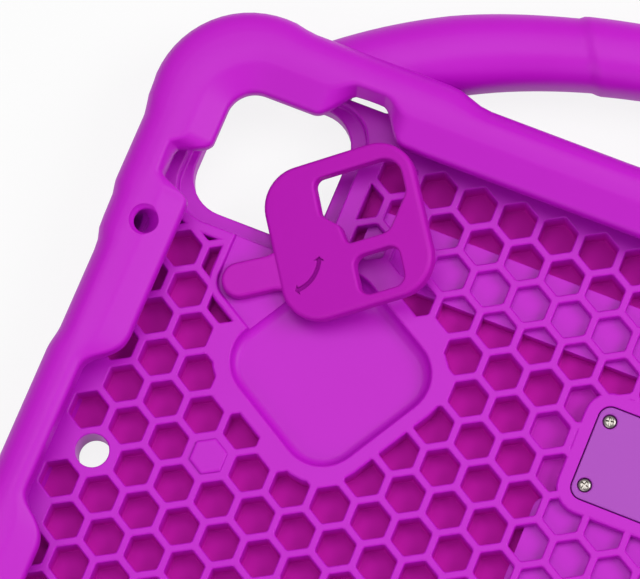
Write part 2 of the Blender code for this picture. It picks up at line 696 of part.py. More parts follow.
def button_cutters(parent):
    """Notches in the lip over the two buttons, and the windows behind them through the bumper."""
    high = BUMPER_TOP + CUTTER_RISE
    low = BUMPER_BOTTOM - CUTTER_RISE
    tip_y = POCKET_HALF_Y - LIP_REACH - LIP_OVERCUT
    tip_x = POCKET_HALF_X - LIP_REACH - LIP_OVERCUT
    throat = VOLUME_THROAT / 2
    mouth = VOLUME_MOUTH / 2
    end_y = POCKET_HALF_Y + VOLUME_THROAT_OUT
    volume = [
        (VOLUME_X - mouth, tip_y),
        (VOLUME_X + mouth, tip_y),
        (VOLUME_X + throat, end_y),
        (VOLUME_X - throat, end_y),
    ]
    half = POWER_WIDTH / 2
    end_x = POCKET_HALF_X - POWER_THROAT_IN
    power = [
        (-tip_x, POWER_Y - half - POWER_SIDE_SLOPE),
        (-tip_x, POWER_Y + half + POWER_SIDE_SLOPE),
        (-end_x, POWER_Y + half),
        (-end_x, POWER_Y - half),
    ]
    radii = [NOTCH_TIP_CORNER, NOTCH_TIP_CORNER, NOTCH_CORNER, NOTCH_CORNER]
    cutters = [
        prism("volume_notch", round_outline(volume, radii, 2), NOTCH_FLOOR, high, parent),
        prism("power_notch", round_outline(power, radii, 2), NOTCH_FLOOR, high, parent),
    ]
    windows = bmesh.new()
    back_y = POCKET_HALF_Y + VOLUME_WINDOW_DEPTH
    width = VOLUME_THROAT - 2 * WINDOW_SIDE_IN
    sill = POCKET_HALF_Y - VOLUME_SILL_IN
    middle = (VOLUME_X, (sill + back_y) / 2)
    outline = round_rectangle(middle, width, back_y - sill, WINDOW_CORNER, 2)
    add_prism(windows, outline, low, WINDOW_TOP)
    back_x = POCKET_HALF_X + POWER_WINDOW_DEPTH
    width = POWER_WIDTH - 2 * WINDOW_SIDE_IN
    sill = POCKET_HALF_X + POWER_SILL
    outline = round_rectangle((-(sill + back_x) / 2, POWER_Y), back_x - sill, width, WINDOW_CORNER, 2)
    add_prism(windows, outline, low, WINDOW_TOP)
    cutters.append(add_object("button_windows", windows, parent))
    back_x -= WINDOW_SIDE_IN
    width -= 2 * WINDOW_SIDE_IN
    hollow = round_rectangle((-(tip_x + back_x) / 2, POWER_Y), back_x - tip_x, width, WINDOW_CORNER, 2)
    floor = NOTCH_FLOOR + WINDOW_SIDE_IN
    cutters.append(prism("power_hollow", hollow, floor, WINDOW_TOP - WINDOW_SIDE_IN, parent))
    return [as_cutter(piece) for piece in cutters]


def bumper_cutters(parent):
    """Side notches, charging port and cord holes in bumper and lip."""
    high = BUMPER_TOP + CUTTER_RISE
    low = BUMPER_BOTTOM - CUTTER_RISE
    notches = bmesh.new()
    holes = bmesh.new()
    throat = SIDE_NOTCH_THROAT / 2
    mouth = SIDE_NOTCH_MOUTH / 2
    radii = [NOTCH_TIP_CORNER, NOTCH_TIP_CORNER, SIDE_NOTCH_CORNER, SIDE_NOTCH_CORNER]
    for sign in (-1, 1):
        edge = sign * (POCKET_HALF_X + SIDE_NOTCH_OUT)
        tip = sign * (POCKET_HALF_X - LIP_REACH - LIP_OVERCUT)
        notch = [(tip, -mouth), (tip, mouth), (edge, throat), (edge, -throat)]
        add_prism(notches, round_outline(notch, radii, 3), POCKET_DEPTH - SIDE_NOTCH_SINK, high)
        place = (sign * (POCKET_HALF_X + CORD_HOLE_RADIUS + CORD_HOLE_SET_IN), CORD_HOLE_Y)
        add_prism(holes, circle(place, CORD_HOLE_RADIUS, 16), low, high)
    middle = (0.0, (PORT_LOW + PORT_HIGH) / 2)
    port = round_rectangle(middle, PORT_WIDTH, PORT_HIGH - PORT_LOW, PORT_CORNER, 3)
    start = POCKET_HALF_X - PORT_START_IN
    end = POCKET_HALF_X + BUMPER_WIDTH + CORNER_BULGE
    cutters = [
        add_object("side_notches", notches, parent),
        prism("port_window", port, start, end, parent, axis="x"),
        add_object("cord_holes", holes, parent),
    ]
    return [as_cutter(piece) for piece in cutters]


def case_body(parent, foam):
    """The one foam moulding: bed, bumper, lip and handle, less its cells, seats and openings."""
    length = 2 * (POCKET_HALF_X + SLAB_SINK)
    width = 2 * (POCKET_HALF_Y + SLAB_SINK)
    slab = round_rectangle((0.0, 0.0), length, width, SLAB_CORNER, 4)
    body = prism("case_body", slab, BED_BACK, 0.0, parent, foam)
    combine(body, bumper_ring(parent), "UNION")
    combine(body, handle_bar(parent), "UNION")
    pad = as_cutter(prism("filled_cell", cell_outline(*FILLED_CELL), -PAD_DEPTH, PAD_RISE, parent))
    combine(body, pad, "UNION")
    cutters = bumper_cutters(parent) + button_cutters(parent) + bed_cutters(parent)
    for cutter in cutters + back_cutters(parent):
        combine(body, cutter, "DIFFERENCE")
    combine(body, honeycomb_cells(parent), "DIFFERENCE")
    return body


def camera_insert(parent, foam):
    """Square foam insert with two windows, a tab and its stud, turned half open about the stud."""
    low = RUNNING_GAP
    high = low + INSERT_THICKNESS
    body_centre = (-PIVOT_OFF_X, -PIVOT_OFF_Y)
    outline = round_rectangle(body_centre, INSERT_SIZE, INSERT_SIZE, INSERT_CORNER, 5)
    insert = prism("camera_insert", outline, low, high, parent, foam)
    rounding = insert.modifiers.new("soft edges", "BEVEL")
    rounding.width = INSERT_ROUNDING
    rounding.segments = 2
    rounding.limit_method = "ANGLE"
    rounding.angle_limit = math.radians(60.0)
    insert.location = (PIVOT_X, PIVOT_Y, 0.0)
    insert.rotation_euler = (0.0, 0.0, math.radians(-SWIVEL_OPEN_ANGLE))

    half = TAB_WIDTH / 2
    tab_low = -SHELF_DEPTH + RUNNING_GAP
    tab_end = -PIVOT_OFF_Y - INSERT_SIZE / 2 + TAB_OVERLAP
    tab = arc((0.0, 0.0), half, 180.0, 360.0, 8) + [(half, tab_end), (-half, tab_end)]
    stud = circle((0.0, 0.0), STUD_RADIUS, 12)
    head = circle((0.0, 0.0), STUD_HEAD_RADIUS, 16)
    head_high = -SHELF_DEPTH - STUD_WEB - RUNNING_GAP
    additions = [
        prism("insert_tab", tab, tab_low, tab_low + TAB_THICKNESS, insert),
        prism("insert_stud", stud, head_high - STUD_HEAD_THICKNESS / 2, tab_low + TAB_THICKNESS / 3, insert),
        prism("insert_stud_head", head, head_high - STUD_HEAD_THICKNESS, head_high, insert),
    ]
    for piece in additions:
        combine(insert, as_cutter(piece), "UNION")
    shape = bmesh.new()
    outline = round_outline(LARGE_WINDOW, LARGE_WINDOW_RADII, 4)
    large = [(x - PIVOT_OFF_X, y - PIVOT_OFF_Y) for x, y in outline]
    add_prism(shape, large, low - CUTTER_RISE / 4, high + CUTTER_RISE)
    small_centre = (SMALL_WINDOW_X - PIVOT_OFF_X, SMALL_WINDOW_Y - PIVOT_OFF_Y)
    size = (SMALL_WINDOW_WIDTH, SMALL_WINDOW_HEIGHT)
    small = round_rectangle(small_centre, *size, SMALL_WINDOW_CORNER, 4)
    add_prism(shape, small, low - CUTTER_RISE / 4, high + CUTTER_RISE)
    windows = as_cutter(add_object("insert_windows", shape, insert))
    combine(insert, windows, "DIFFERENCE")
    return insert


def retaining_plate(parent, plastic):
    """Hard plate let into the bed, with a counterbored hole for each screw."""
    outline = round_rectangle((0.0, PLATE_Y), PLATE_WIDTH, PLATE_HEIGHT, PLATE_CORNER, 4)
    plate = prism("retaining_plate", outline, -PLATE_THICKNESS, 0.0, parent, plastic)
    for name, radius, low in (
        ("plate_holes", SCREW_SHANK_RADIUS + RUNNING_GAP, -PLATE_THICKNESS - CUTTER_RISE),
        ("plate_counterbores", SCREW_HEAD_RADIUS + RUNNING_GAP, -SCREW_HEAD_THICKNESS - RUNNING_GAP),
    ):
        shape = bmesh.new()
        for place in screw_places():
            add_prism(shape, circle(place, radius, 16), low, CUTTER_RISE)
        combine(plate, as_cutter(add_object(name, shape, parent)), "DIFFERENCE")
    return plate


def screw(number, place, parent, steel):
    """Small screw with a low round head, its head level with the plate."""
    profile = (
        (SCREW_SHANK_RADIUS * 0.5, -SCREW_LENGTH),
        (SCREW_SHANK_RADIUS, -SCREW_LENGTH + 0.0008),
        (SCREW_SHANK_RADIUS, -SCREW_HEAD_THICKNESS),
        (SCREW_HEAD_RADIUS, -SCREW_HEAD_THICKNESS),
        (SCREW_HEAD_RADIUS, -0.0005),
        (SCREW_HEAD_RADIUS * 0.8, -0.0001),
        (SCREW_HEAD_RADIUS * 0.4, 0.0),
    )
    shape = bmesh.new()
    rings = [[(x, y, level) for x, y in circle((0.0, 0.0), radius, 16)] for radius, level in profile]
    add_loft(shape, rings, closed=False)
    piece = add_object(f"screw_{number}", shape, parent, steel)
    piece.location = (place[0], place[1], 0.0)
    piece.data.shade_smooth()
    piece.data.set_sharp_from_angle(angle=math.radians(35.0))
    return piece


def knuckle_profile(radius):
    """Outline of a hinge knuckle as (y, z) about the hinge line."""
    return circle((HINGE_Y, HINGE_Z), radius, 16)


def knuckle_spans():
    """Where the two bracket knuckles lie along the hinge, outside the leg's own."""
    inner = LEG_KNUCKLE_LENGTH / 2 + RUNNING_GAP
    return [(inner, inner + BRACKET_KNUCKLE_LENGTH), (-inner - BRACKET_KNUCKLE_LENGTH, -inner)]


def stand_bracket(parent, plastic):
    """Base on the back of the foam, with posts that take the screws and two hinge knuckles."""
    top = RECESS_FLOOR_BACK - RUNNING_GAP
    low = top - BRACKET_THICKNESS
    outline = round_rectangle((0.0, PLATE_Y), STAND_WIDTH, BRACKET_HEIGHT, STAND_CORNER, 4)
    bracket = prism("stand_bracket", outline, low, top, parent, plastic)
    shape = bmesh.new()
    for place in screw_places():
        add_prism(shape, circle(place, POST_RADIUS, 16), low + RUNNING_GAP, -PLATE_THICKNESS - RUNNING_GAP)
    combine(bracket, as_cutter(add_object("bracket_posts", shape, parent)), "UNION")
    reach = PLATE_Y - BRACKET_HEIGHT / 2 + KNUCKLE_FOOT
    foot = [(reach, low + KNUCKLE_INSET), (reach, top - KNUCKLE_INSET)]
    profile = arc((HINGE_Y, HINGE_Z), KNUCKLE_RADIUS, 90.0, 320.0, 11) + foot
    shape = bmesh.new()
    for left, right in knuckle_spans():
        add_prism(shape, profile, left, right, axis="x")
    combine(bracket, as_cutter(add_object("bracket_knuckles", shape, parent)), "UNION")
    shape = bmesh.new()
    add_prism(shape, knuckle_profile(PIN_RADIUS + RUNNING_GAP), -STAND_WIDTH / 2, STAND_WIDTH / 2, axis="x")
    combine(bracket, as_cutter(add_object("bracket_pin_hole", shape, parent)), "DIFFERENCE")
    shape = bmesh.new()
    for place in screw_places():
        hole = circle(place, SCREW_SHANK_RADIUS + RUNNING_GAP, 12)
        add_prism(shape, hole, -SCREW_LENGTH - RUNNING_GAP, 0.0)
    combine(bracket, as_cutter(add_object("bracket_screw_holes", shape, parent)), "DIFFERENCE")
    return bracket


def stand_pin(parent, steel):
    """Steel hinge pin of the stand."""
    half = knuckle_spans()[0][1]
    pin = prism("stand_pin", knuckle_profile(PIN_RADIUS), -half, half, parent, steel, axis="x")
    pin.data.shade_smooth()
    pin.data.set_sharp_from_angle(angle=math.radians(35.0))
    return pin


def stand_leg(parent, plastic):
    """Folding leg with one knuckle and a long window, its origin on the hinge line."""
    top = RECESS_FLOOR_BACK - LEG_CLEARANCE - HINGE_Z
    low = top - LEG_THICKNESS
    wide = STAND_WIDTH / 2
    narrow = LEG_FOOT_WIDTH / 2
    head = -KNUCKLE_RADIUS - 2 * RUNNING_GAP
    foot = STAND_FOOT_Y - HINGE_Y
    outline = stand_outline(narrow, wide, foot, STAND_TAPER_Y - HINGE_Y, head)
    leg = prism("stand_leg", outline, low, top, parent, plastic)
    leg.location = (0.0, HINGE_Y, HINGE_Z)
    half = LEG_KNUCKLE_LENGTH / 2
    root = head - KNUCKLE_FOOT / 2
    profile = arc((0.0, 0.0), KNUCKLE_RADIUS, -140.0, 90.0, 11)
    profile += [(root, top - KNUCKLE_INSET), (root, low + KNUCKLE_INSET)]
    combine(leg, as_cutter(prism("leg_knuckle", profile, -half, half, leg, axis="x")), "UNION")
    hole = circle((0.0, 0.0), PIN_RADIUS + RUNNING_GAP, 12)
    end = half + CUTTER_RISE
    combine(leg, as_cutter(prism("leg_pin_hole", hole, -end, end, leg, axis="x")), "DIFFERENCE")
    window_y = foot + LEG_WINDOW_FROM_FOOT + LEG_WINDOW_LENGTH / 2
    corner = LEG_WINDOW_WIDTH / 2 - KNUCKLE_INSET
    window = round_rectangle((0.0, window_y), LEG_WINDOW_WIDTH, LEG_WINDOW_LENGTH, corner, 5)
    cut = as_cutter(prism("leg_window", window, low - CUTTER_RISE, top + CUTTER_RISE, leg))
    combine(leg, cut, "DIFFERENCE")
    return leg


def build():
    """Make the whole case, standing on z = 0 with the middle of its outline at the origin."""
    clear_scene()
    foam = material("magenta_foam", (0.52, 0.015, 0.56), 0.62)
    insert_foam = material("insert_foam", (0.52, 0.015, 0.56), 0.60)
    plate_plastic = material("lilac_plastic", (0.42, 0.07, 0.55), 0.40)
    stand_plastic = material("stand_plastic", (0.40, 0.05, 0.52), 0.42)
    steel = material("bright_steel", (0.60, 0.58, 0.56), 0.30, 1.0)
    case_frame = bpy.data.objects.new("case_frame", None)
    bpy.context.scene.collection.objects.link(case_frame)
    case_frame.location = (0.0, -(HANDLE_TOP + CASE_LOW_Y) / 2, -BUMPER_BOTTOM)
    case_body(case_frame, foam)
    camera_insert(case_frame, insert_foam)
    retaining_plate(case_frame, plate_plastic)
    for number, place in enumerate(screw_places(), start=1):
        screw(number, place, case_frame, steel)
    stand_bracket(case_frame, stand_plastic)
    stand_pin(case_frame, steel)
    stand_leg(case_frame, stand_plastic)
    bpy.context.view_layer.update()


build()
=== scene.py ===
"""Foam carrying case for a 13-inch tablet, screen side up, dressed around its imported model."""

import json
import math

import bmesh
import bpy
import numpy as np
from mathutils import Matrix, Vector


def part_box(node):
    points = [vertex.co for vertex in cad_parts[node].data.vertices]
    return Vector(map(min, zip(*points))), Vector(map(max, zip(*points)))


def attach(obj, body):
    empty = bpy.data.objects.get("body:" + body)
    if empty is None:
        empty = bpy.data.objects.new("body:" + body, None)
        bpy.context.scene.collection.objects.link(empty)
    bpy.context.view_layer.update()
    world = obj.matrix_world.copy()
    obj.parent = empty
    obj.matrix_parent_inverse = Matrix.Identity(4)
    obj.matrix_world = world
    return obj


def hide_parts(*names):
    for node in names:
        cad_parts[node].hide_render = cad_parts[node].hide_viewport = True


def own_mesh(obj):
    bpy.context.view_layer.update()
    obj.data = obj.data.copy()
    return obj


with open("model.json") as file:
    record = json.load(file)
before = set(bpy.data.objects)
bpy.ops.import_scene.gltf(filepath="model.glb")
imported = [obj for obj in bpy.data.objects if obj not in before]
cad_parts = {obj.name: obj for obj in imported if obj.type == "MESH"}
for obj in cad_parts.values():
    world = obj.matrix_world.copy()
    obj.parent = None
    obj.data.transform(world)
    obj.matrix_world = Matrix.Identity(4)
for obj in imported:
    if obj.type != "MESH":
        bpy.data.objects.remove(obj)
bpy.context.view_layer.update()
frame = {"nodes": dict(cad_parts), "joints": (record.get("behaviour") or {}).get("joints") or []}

# Honeycomb bed: the floor of the one foam moulding, where the tablet lies. Blind hexagonal cells
# lighten it, deeper over the plain back and shallower over the recesses behind, and solid rims
# frame the camera opening, the storage recess, the swivel's shelf and the plate.

MM = 0.001
plate_low, plate_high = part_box("retaining_plate")
PLATE_Y = 45.7
CASE_MIDDLE = np.array((0.0, (plate_low.y + plate_high.y) / 2 - PLATE_Y * MM, plate_high.z))
swivel = next(joint for joint in frame["joints"] if joint["name"] == "insert_swivel")
STUD = (np.array(swivel["pos_m"][:2]) - CASE_MIDDLE[:2]) / MM
STUD_FROM_CAMERA = np.array((4.3, -31.7))
CAMERA_CENTRE = STUD - STUD_FROM_CAMERA
STORAGE_SWING = -120.0
POCKET_HALF = np.array((141.05, 108.2))
SLAB_SINK = 2.5
SLAB_CORNER = 19.0
BED_BACK = -8.7
BELOW_BED = BED_BACK - 2.0
ABOVE_BED = 1.0
CELL_PITCH = 10.83
CELL_ACROSS = 8.8
CELL_CORNER = 0.5
CELL_FILLET = 0.5
CELL_DEPTH = 6.5
BELOW_CELLS = -12.0
NEAR_PLATE = np.array((29.0, 15.5))
NEAR_PLATE_DEPTH = 4.4
SHALLOW_DEPTH = 2.8
WEB_EDGE = 0.5
RIM_EDGE = 0.7
ROWS_EACH_WAY = 10
COLUMNS_EACH_WAY = 13
FIELD_MARGIN = 5.3
FILLED_COLUMN = -9.5
FILLED_LEVELS = (-1.0, 0.25, 0.45, 0.6, 0.66)
FILLED_GROWS = (-0.15, -0.15, -0.25, -0.5, -0.9)
SEAT_SIZE = 41.5
SEAT_CORNER = 10.45
SEAT_DEPTH = 3.6
SEAT_FILLET = 0.5
STORAGE_FILLET = 2.4
OPENING_SIZE = 35.4
OPENING_CORNER = 10.2
OPENING_EDGE = 0.5
OPENING_SHIFT = np.array((-0.7, 0.9))
CAMERA_RIM_SIZE = np.array((7.8, 6.0)) + SEAT_SIZE
CAMERA_RIM_CORNER = SEAT_CORNER + 3.0
CAMERA_RIM_SHIFT = np.array((0.9, 0.0))
STORAGE_RIM_HALF = SEAT_SIZE / 2 + 4.15
STORAGE_RIM_CORNER = SEAT_CORNER + 2.6
LEAST_BEYOND_RIM = 2.9
SHELF_DEPTH = 1.8
SHELF_FILLET = 0.4
SHELF_SIDE = 5.6
SHELF_REACH = 14.0
SHELF_RIM = 2.2
STUD_HOLE_RADIUS = 3.8
PUSH_HOLE = np.array((-130.4, 0.1))
PUSH_HOLE_RADIUS = 4.6
PUSH_HOLE_EDGE = 0.35
PLATE_SIZE = np.array((34.2, 24.4))
PLATE_CORNER = 3.0
PLATE_BORDER = 3.8
PLATE_THICKNESS = 2.0
PLATE_SEAT_GAP = 0.3
PLATE_SEAT_EDGE = 0.12
SCREW_STEP = np.array((28.2, 17.1))
POST_RADIUS = 2.8
EASED = np.radians((0.0, 25.0, 50.0, 75.0))


def turned(points, degrees, about=(0.0, 0.0)):
    """Plane points turned about a centre: x cos - y sin, x sin + y cos."""
    cos_turn = math.cos(math.radians(degrees))
    sin_turn = math.sin(math.radians(degrees))
    offset = np.asarray(points, float) - about
    x, y = offset[..., 0], offset[..., 1]
    return np.stack((x * cos_turn - y * sin_turn, x * sin_turn + y * cos_turn), -1) + about


def rounded(corners, radii, steps=6):
    """Outline with arcs for corners, each centred r / sin(half its angle) in from the corner."""
    here = np.array(corners, float)
    radii = np.broadcast_to(np.array(radii, float), len(here))
    back = np.roll(here, 1, axis=0) - here
    ahead = np.roll(here, -1, axis=0) - here
    back /= np.linalg.norm(back, axis=1, keepdims=True)
    ahead /= np.linalg.norm(ahead, axis=1, keepdims=True)
    half = np.arccos(np.clip((back * ahead).sum(1), -1.0, 1.0)) / 2
    middle = (back + ahead) / np.linalg.norm(back + ahead, axis=1, keepdims=True)
    centre = here + middle * (radii / np.sin(half))[:, None]
    start = here + back * (radii / np.tan(half))[:, None] - centre
    end = here + ahead * (radii / np.tan(half))[:, None] - centre
    first = np.arctan2(start[:, 1], start[:, 0])
    turn = (np.arctan2(end[:, 1], end[:, 0]) - first + np.pi) % (2 * np.pi) - np.pi
    angle = first[:, None] + turn[:, None] * np.linspace(0.0, 1.0, steps + 1)
    arcs = centre[:, None] + radii[:, None, None] * np.stack((np.cos(angle), np.sin(angle)), -1)
    return arcs.reshape(-1, 2)


def oblong(centre, width, height, radius, degrees=0.0, steps=6):
    """Rounded rectangle about a centre, turned by an angle."""
    signs = np.array(((-1, -1), (1, -1), (1, 1), (-1, 1)))
    outline = rounded(signs * (width / 2, height / 2), radius, steps)
    return turned(outline, degrees) + centre


def disc(centre, radius, sides=32):
    """Points round a circle: centre + r (cos a, sin a)."""
    angle = np.linspace(0.0, 2 * np.pi, sides, endpoint=False)
    return np.array(centre) + radius * np.stack((np.cos(angle), np.sin(angle)), -1)


def spread(outline, grow):
    """Outline moved outwards: a point by grow (n1 + n2) / (1 + n1 . n2) of its sides' normals."""
    side = np.roll(outline, -1, axis=-2) - outline
    ahead = np.stack((side[..., 1], -side[..., 0]), -1)
    ahead /= np.linalg.norm(ahead, axis=-1, keepdims=True)
    back = np.roll(ahead, 1, axis=-2)
    return outline + grow * (ahead + back) / (1 + (ahead * back).sum(-1, keepdims=True))


def stacked(outline, levels, grows):
    """Rows of an upright form: the outline at each level, moved outwards by that level's grow."""
    rows = []
    for level, grow in zip(levels, grows):
        flat = spread(outline, grow)
        rows.append(np.concatenate((flat, np.full(flat.shape[:-1] + (1,), level)), -1))
    return np.stack(rows, axis=-3)


def sunk(outline, floor, edge, fillet=0.0, top=0.0):
    """Rows of a cutter: quarter-round fillet at its floor, upright wall, flare rounded on top."""
    levels = list(top - edge + edge * np.sin(EASED)) + [top + 0.02, top + 1.5]
    grows = list(edge * (1 - np.cos(EASED))) + [edge, edge + 0.05]
    if fillet > 0:
        rise = np.radians((0.0, 30.0, 60.0))
        levels = list(floor + fillet * (1 - np.cos(rise))) + [floor + fillet] + levels
        grows = list(fillet * (np.sin(rise) - 1)) + [0.0] + grows
    else:
        levels = [floor] + levels
        grows = [0.0] + grows
    return stacked(outline, levels, grows)


def solid(name, rows, ring=False):
    """Mesh of quads between neighbouring rows of points, with flat ends or as a full ring."""
    rows = rows.reshape((-1,) + rows.shape[-3:])
    place = np.arange(rows[..., 0].size).reshape(rows.shape[:-1])
    upper = np.roll(place, -1, axis=1)
    if not ring:
        place, upper = place[:, :-1], upper[:, :-1]
    corners = (place, np.roll(place, -1, axis=2), np.roll(upper, -1, axis=2), upper)
    faces = np.stack(corners, -1).reshape(-1, 4).tolist()
    if not ring:
        faces += place[:, 0, ::-1].tolist() + upper[:, -1].tolist()
    mesh = bpy.data.meshes.new(name)
    mesh.from_pydata((rows.reshape(-1, 3) * MM + CASE_MIDDLE).tolist(), [], faces)
    shape = bmesh.new()
    shape.from_mesh(mesh)
    bmesh.ops.recalc_face_normals(shape, faces=shape.faces)
    shape.to_mesh(mesh)
    shape.free()
    piece = bpy.data.objects.new(name, mesh)
    bpy.context.scene.collection.objects.link(piece)
    return piece


def shaped(piece, tool, operation="DIFFERENCE"):
    """Cut the tool out of the piece or join it on, and drop the tool."""
    step = piece.modifiers.new("shape", "BOOLEAN")
    step.object = tool
    step.operation = operation
    step.solver = "MANIFOLD"
    graph = bpy.context.evaluated_depsgraph_get()
    mesh = bpy.data.meshes.new_from_object(piece.evaluated_get(graph))
    piece.modifiers.clear()
    piece.data = mesh
    bpy.data.objects.remove(tool, do_unlink=True)
    return piece


def skinned(piece, finish, sharp=38.0):
    """Give a finished mesh its material and soft shading, flat faces keeping their own normal."""
    piece.data.materials.clear()
    piece.data.materials.append(finish)
    piece.data.shade_smooth()
    piece.data.set_sharp_from_angle(angle=math.radians(sharp))
    weights = piece.modifiers.new("flat faces lead", "WEIGHTED_NORMAL")
    weights.keep_sharp = True
    return piece


def shelf_outline(grow):
    """Fan that the tab sweeps about the stud: a half round behind, an arc of its reach in front."""
    side = SHELF_SIDE + grow
    reach = math.hypot(side, SHELF_REACH + grow)
    half = math.degrees(math.atan2(side, SHELF_REACH + grow))
    behind = np.radians(np.linspace(180.0, 360.0 + STORAGE_SWING, 7))
    front = np.radians(np.linspace(90.0 + STORAGE_SWING - half, 90.0 + half, 16))
    round_behind = side * np.stack((np.cos(behind), np.sin(behind)), -1)
    round_front = reach * np.stack((np.cos(front), np.sin(front)), -1)
    return np.concatenate((round_behind, round_front)) + STUD


def upright(name, outline, low, high, grow=0.0):
    """Plain upright form of an outline between two levels."""
    return solid(name, stacked(outline, (low, high), (grow, grow)))


STORAGE_CENTRE = turned(-STUD_FROM_CAMERA, STORAGE_SWING) + STUD
ROW_PITCH = CELL_PITCH * math.sqrt(3) / 2
row = np.arange(-ROWS_EACH_WAY, ROWS_EACH_WAY + 1)
column = np.arange(-COLUMNS_EACH_WAY, COLUMNS_EACH_WAY + 1)
cell_x = (column[None, :] + 0.5 * (row[:, None] % 2)) * CELL_PITCH
cell_y = np.broadcast_to(row[:, None] * ROW_PITCH, cell_x.shape)
centres = np.stack((cell_x, cell_y), -1).reshape(-1, 2)
filled_cell = np.array((FILLED_COLUMN * CELL_PITCH, ROW_PITCH))
kept = np.abs(centres[:, 0]) < POCKET_HALF[0] - FIELD_MARGIN
for special in (PUSH_HOLE, filled_cell):
    kept &= np.linalg.norm(centres - special, axis=1) > CELL_PITCH / 2
beyond = np.abs(turned(centres - STORAGE_CENTRE, -STORAGE_SWING))
beyond -= STORAGE_RIM_HALF - STORAGE_RIM_CORNER
from_corner = np.hypot(*np.maximum(beyond, 0.0).T) + np.minimum(beyond.max(1), 0.0)
kept &= from_corner - STORAGE_RIM_CORNER > -LEAST_BEYOND_RIM
centres = centres[kept]
hexagon = turned(rounded(disc((0.0, 0.0), CELL_ACROSS / math.sqrt(3), 6), CELL_CORNER, 1), 30.0)
near_plate = (np.abs(centres - (0.0, PLATE_Y)) < NEAR_PLATE).all(1)
deep_cells = hexagon + centres[~near_plate][:, None]
plate_cells = hexagon + centres[near_plate][:, None]
cells = solid("cells", sunk(deep_cells, -CELL_DEPTH, WEB_EDGE, CELL_FILLET))
plate_cells = solid("plate_cells", sunk(plate_cells, -NEAR_PLATE_DEPTH, WEB_EDGE, CELL_FILLET))
shaped(cells, plate_cells, "UNION")

storage_rim_size = (2 * STORAGE_RIM_HALF, 2 * STORAGE_RIM_HALF, STORAGE_RIM_CORNER)
plate_rim_size = PLATE_SIZE + 2 * PLATE_BORDER
rims = {
    "camera_rim": oblong(CAMERA_CENTRE + CAMERA_RIM_SHIFT, *CAMERA_RIM_SIZE, CAMERA_RIM_CORNER),
    "storage_rim": oblong(STORAGE_CENTRE, *storage_rim_size, STORAGE_SWING),
    "shelf_rim": shelf_outline(SHELF_RIM),
    "plate_rim": oblong((0.0, PLATE_Y), *plate_rim_size, PLATE_CORNER + PLATE_BORDER),
}
rim_levels = [BELOW_CELLS, *(RIM_EDGE * (np.sin(EASED) - 1)), 0.02]
rim_grows = [0.0, *(RIM_EDGE * (np.cos(EASED) - 1)), -RIM_EDGE]
for name, outline in rims.items():
    shaped(cells, solid(name, stacked(outline, rim_levels, rim_grows)))
BAND_MIDDLE = (0.0, 76.1)
band_floor = oblong(BAND_MIDDLE, 177.6, 16.7, 4.0)
stand_floor = oblong((0.0, -35.0), 48.2, 134.0, 4.0)
shaped(cells, upright("band_floor", band_floor, BELOW_CELLS, -SHALLOW_DEPTH))
shaped(cells, upright("stand_floor", stand_floor, BELOW_CELLS, -SHALLOW_DEPTH))

slab = oblong((0.0, 0.0), *(2 * (POCKET_HALF + SLAB_SINK)), SLAB_CORNER)
bed = upright("honeycomb_bed", slab, BED_BACK, 0.0)
filling = stacked(hexagon + filled_cell, FILLED_LEVELS, FILLED_GROWS)
shaped(bed, solid("filled_cell", filling), "UNION")
shaped(bed, cells)
storage = oblong(STORAGE_CENTRE, SEAT_SIZE, SEAT_SIZE, SEAT_CORNER, STORAGE_SWING, 10)
seat = oblong(CAMERA_CENTRE, SEAT_SIZE, SEAT_SIZE, SEAT_CORNER, 0.0, 10)
opening_middle = CAMERA_CENTRE + OPENING_SHIFT
opening = oblong(opening_middle, OPENING_SIZE, OPENING_SIZE, OPENING_CORNER, 0.0, 10)
plate_seat_size = PLATE_SIZE + 2 * PLATE_SEAT_GAP
plate_seat = oblong((0.0, PLATE_Y), *plate_seat_size, PLATE_CORNER + PLATE_SEAT_GAP, 0.0, 8)
push_hole = disc(PUSH_HOLE, PUSH_HOLE_RADIUS - PUSH_HOLE_EDGE, 40)
shaped(bed, solid("storage_recess", sunk(storage, -SEAT_DEPTH, RIM_EDGE, STORAGE_FILLET)))
shaped(bed, solid("camera_seat", sunk(seat, -SEAT_DEPTH, RIM_EDGE, SEAT_FILLET)))
shaped(bed, solid("tab_shelf", sunk(shelf_outline(0.0), -SHELF_DEPTH, RIM_EDGE, SHELF_FILLET)))
plate_seat_floor = -PLATE_THICKNESS - PLATE_SEAT_GAP
shaped(bed, solid("plate_seat", sunk(plate_seat, plate_seat_floor, PLATE_SEAT_EDGE)))
shaped(bed, solid("camera_opening", sunk(opening, BELOW_BED, OPENING_EDGE, 0.0, -SEAT_DEPTH)))
shaped(bed, solid("push_hole", sunk(push_hole, BELOW_BED, PUSH_HOLE_EDGE)))
shaped(bed, upright("stud_hole", disc(STUD, STUD_HOLE_RADIUS, 40), BELOW_BED, ABOVE_BED))
signs = np.array(((-1, 1), (1, 1), (-1, -1), (1, -1)))
screw_places = signs * SCREW_STEP / 2 + (0.0, PLATE_Y)
posts = disc((0.0, 0.0), POST_RADIUS, 24) + screw_places[:, None]
shaped(bed, upright("post_holes", posts, BELOW_BED, ABOVE_BED))

RECESS_CEILING = -5.0
THUMB_CEILING = -4.7
BACK_EDGE = 0.5
STAND_SIDE = ((17.8, -98.8), (22.6, -30.0), (22.6, 61.5))
STAND_CORNERS = (10.0, 20.0, 4.0)
THUMB_PLACE = (0.0, -98.0)
THUMB_RADIUS = 9.0


def hollow_back(outline, ceiling):
    """Rows of a cutter from behind: flared where it leaves the back, upright to its ceiling."""
    leaving = EASED[::-1]
    levels = [-14.0, BED_BACK - 0.02, *(BED_BACK + BACK_EDGE * (1 - np.sin(leaving))), ceiling]
    grows = [BACK_EDGE + 0.05, BACK_EDGE, *(BACK_EDGE * (1 - np.cos(leaving))), 0.0]
    return stacked(outline, levels, grows)


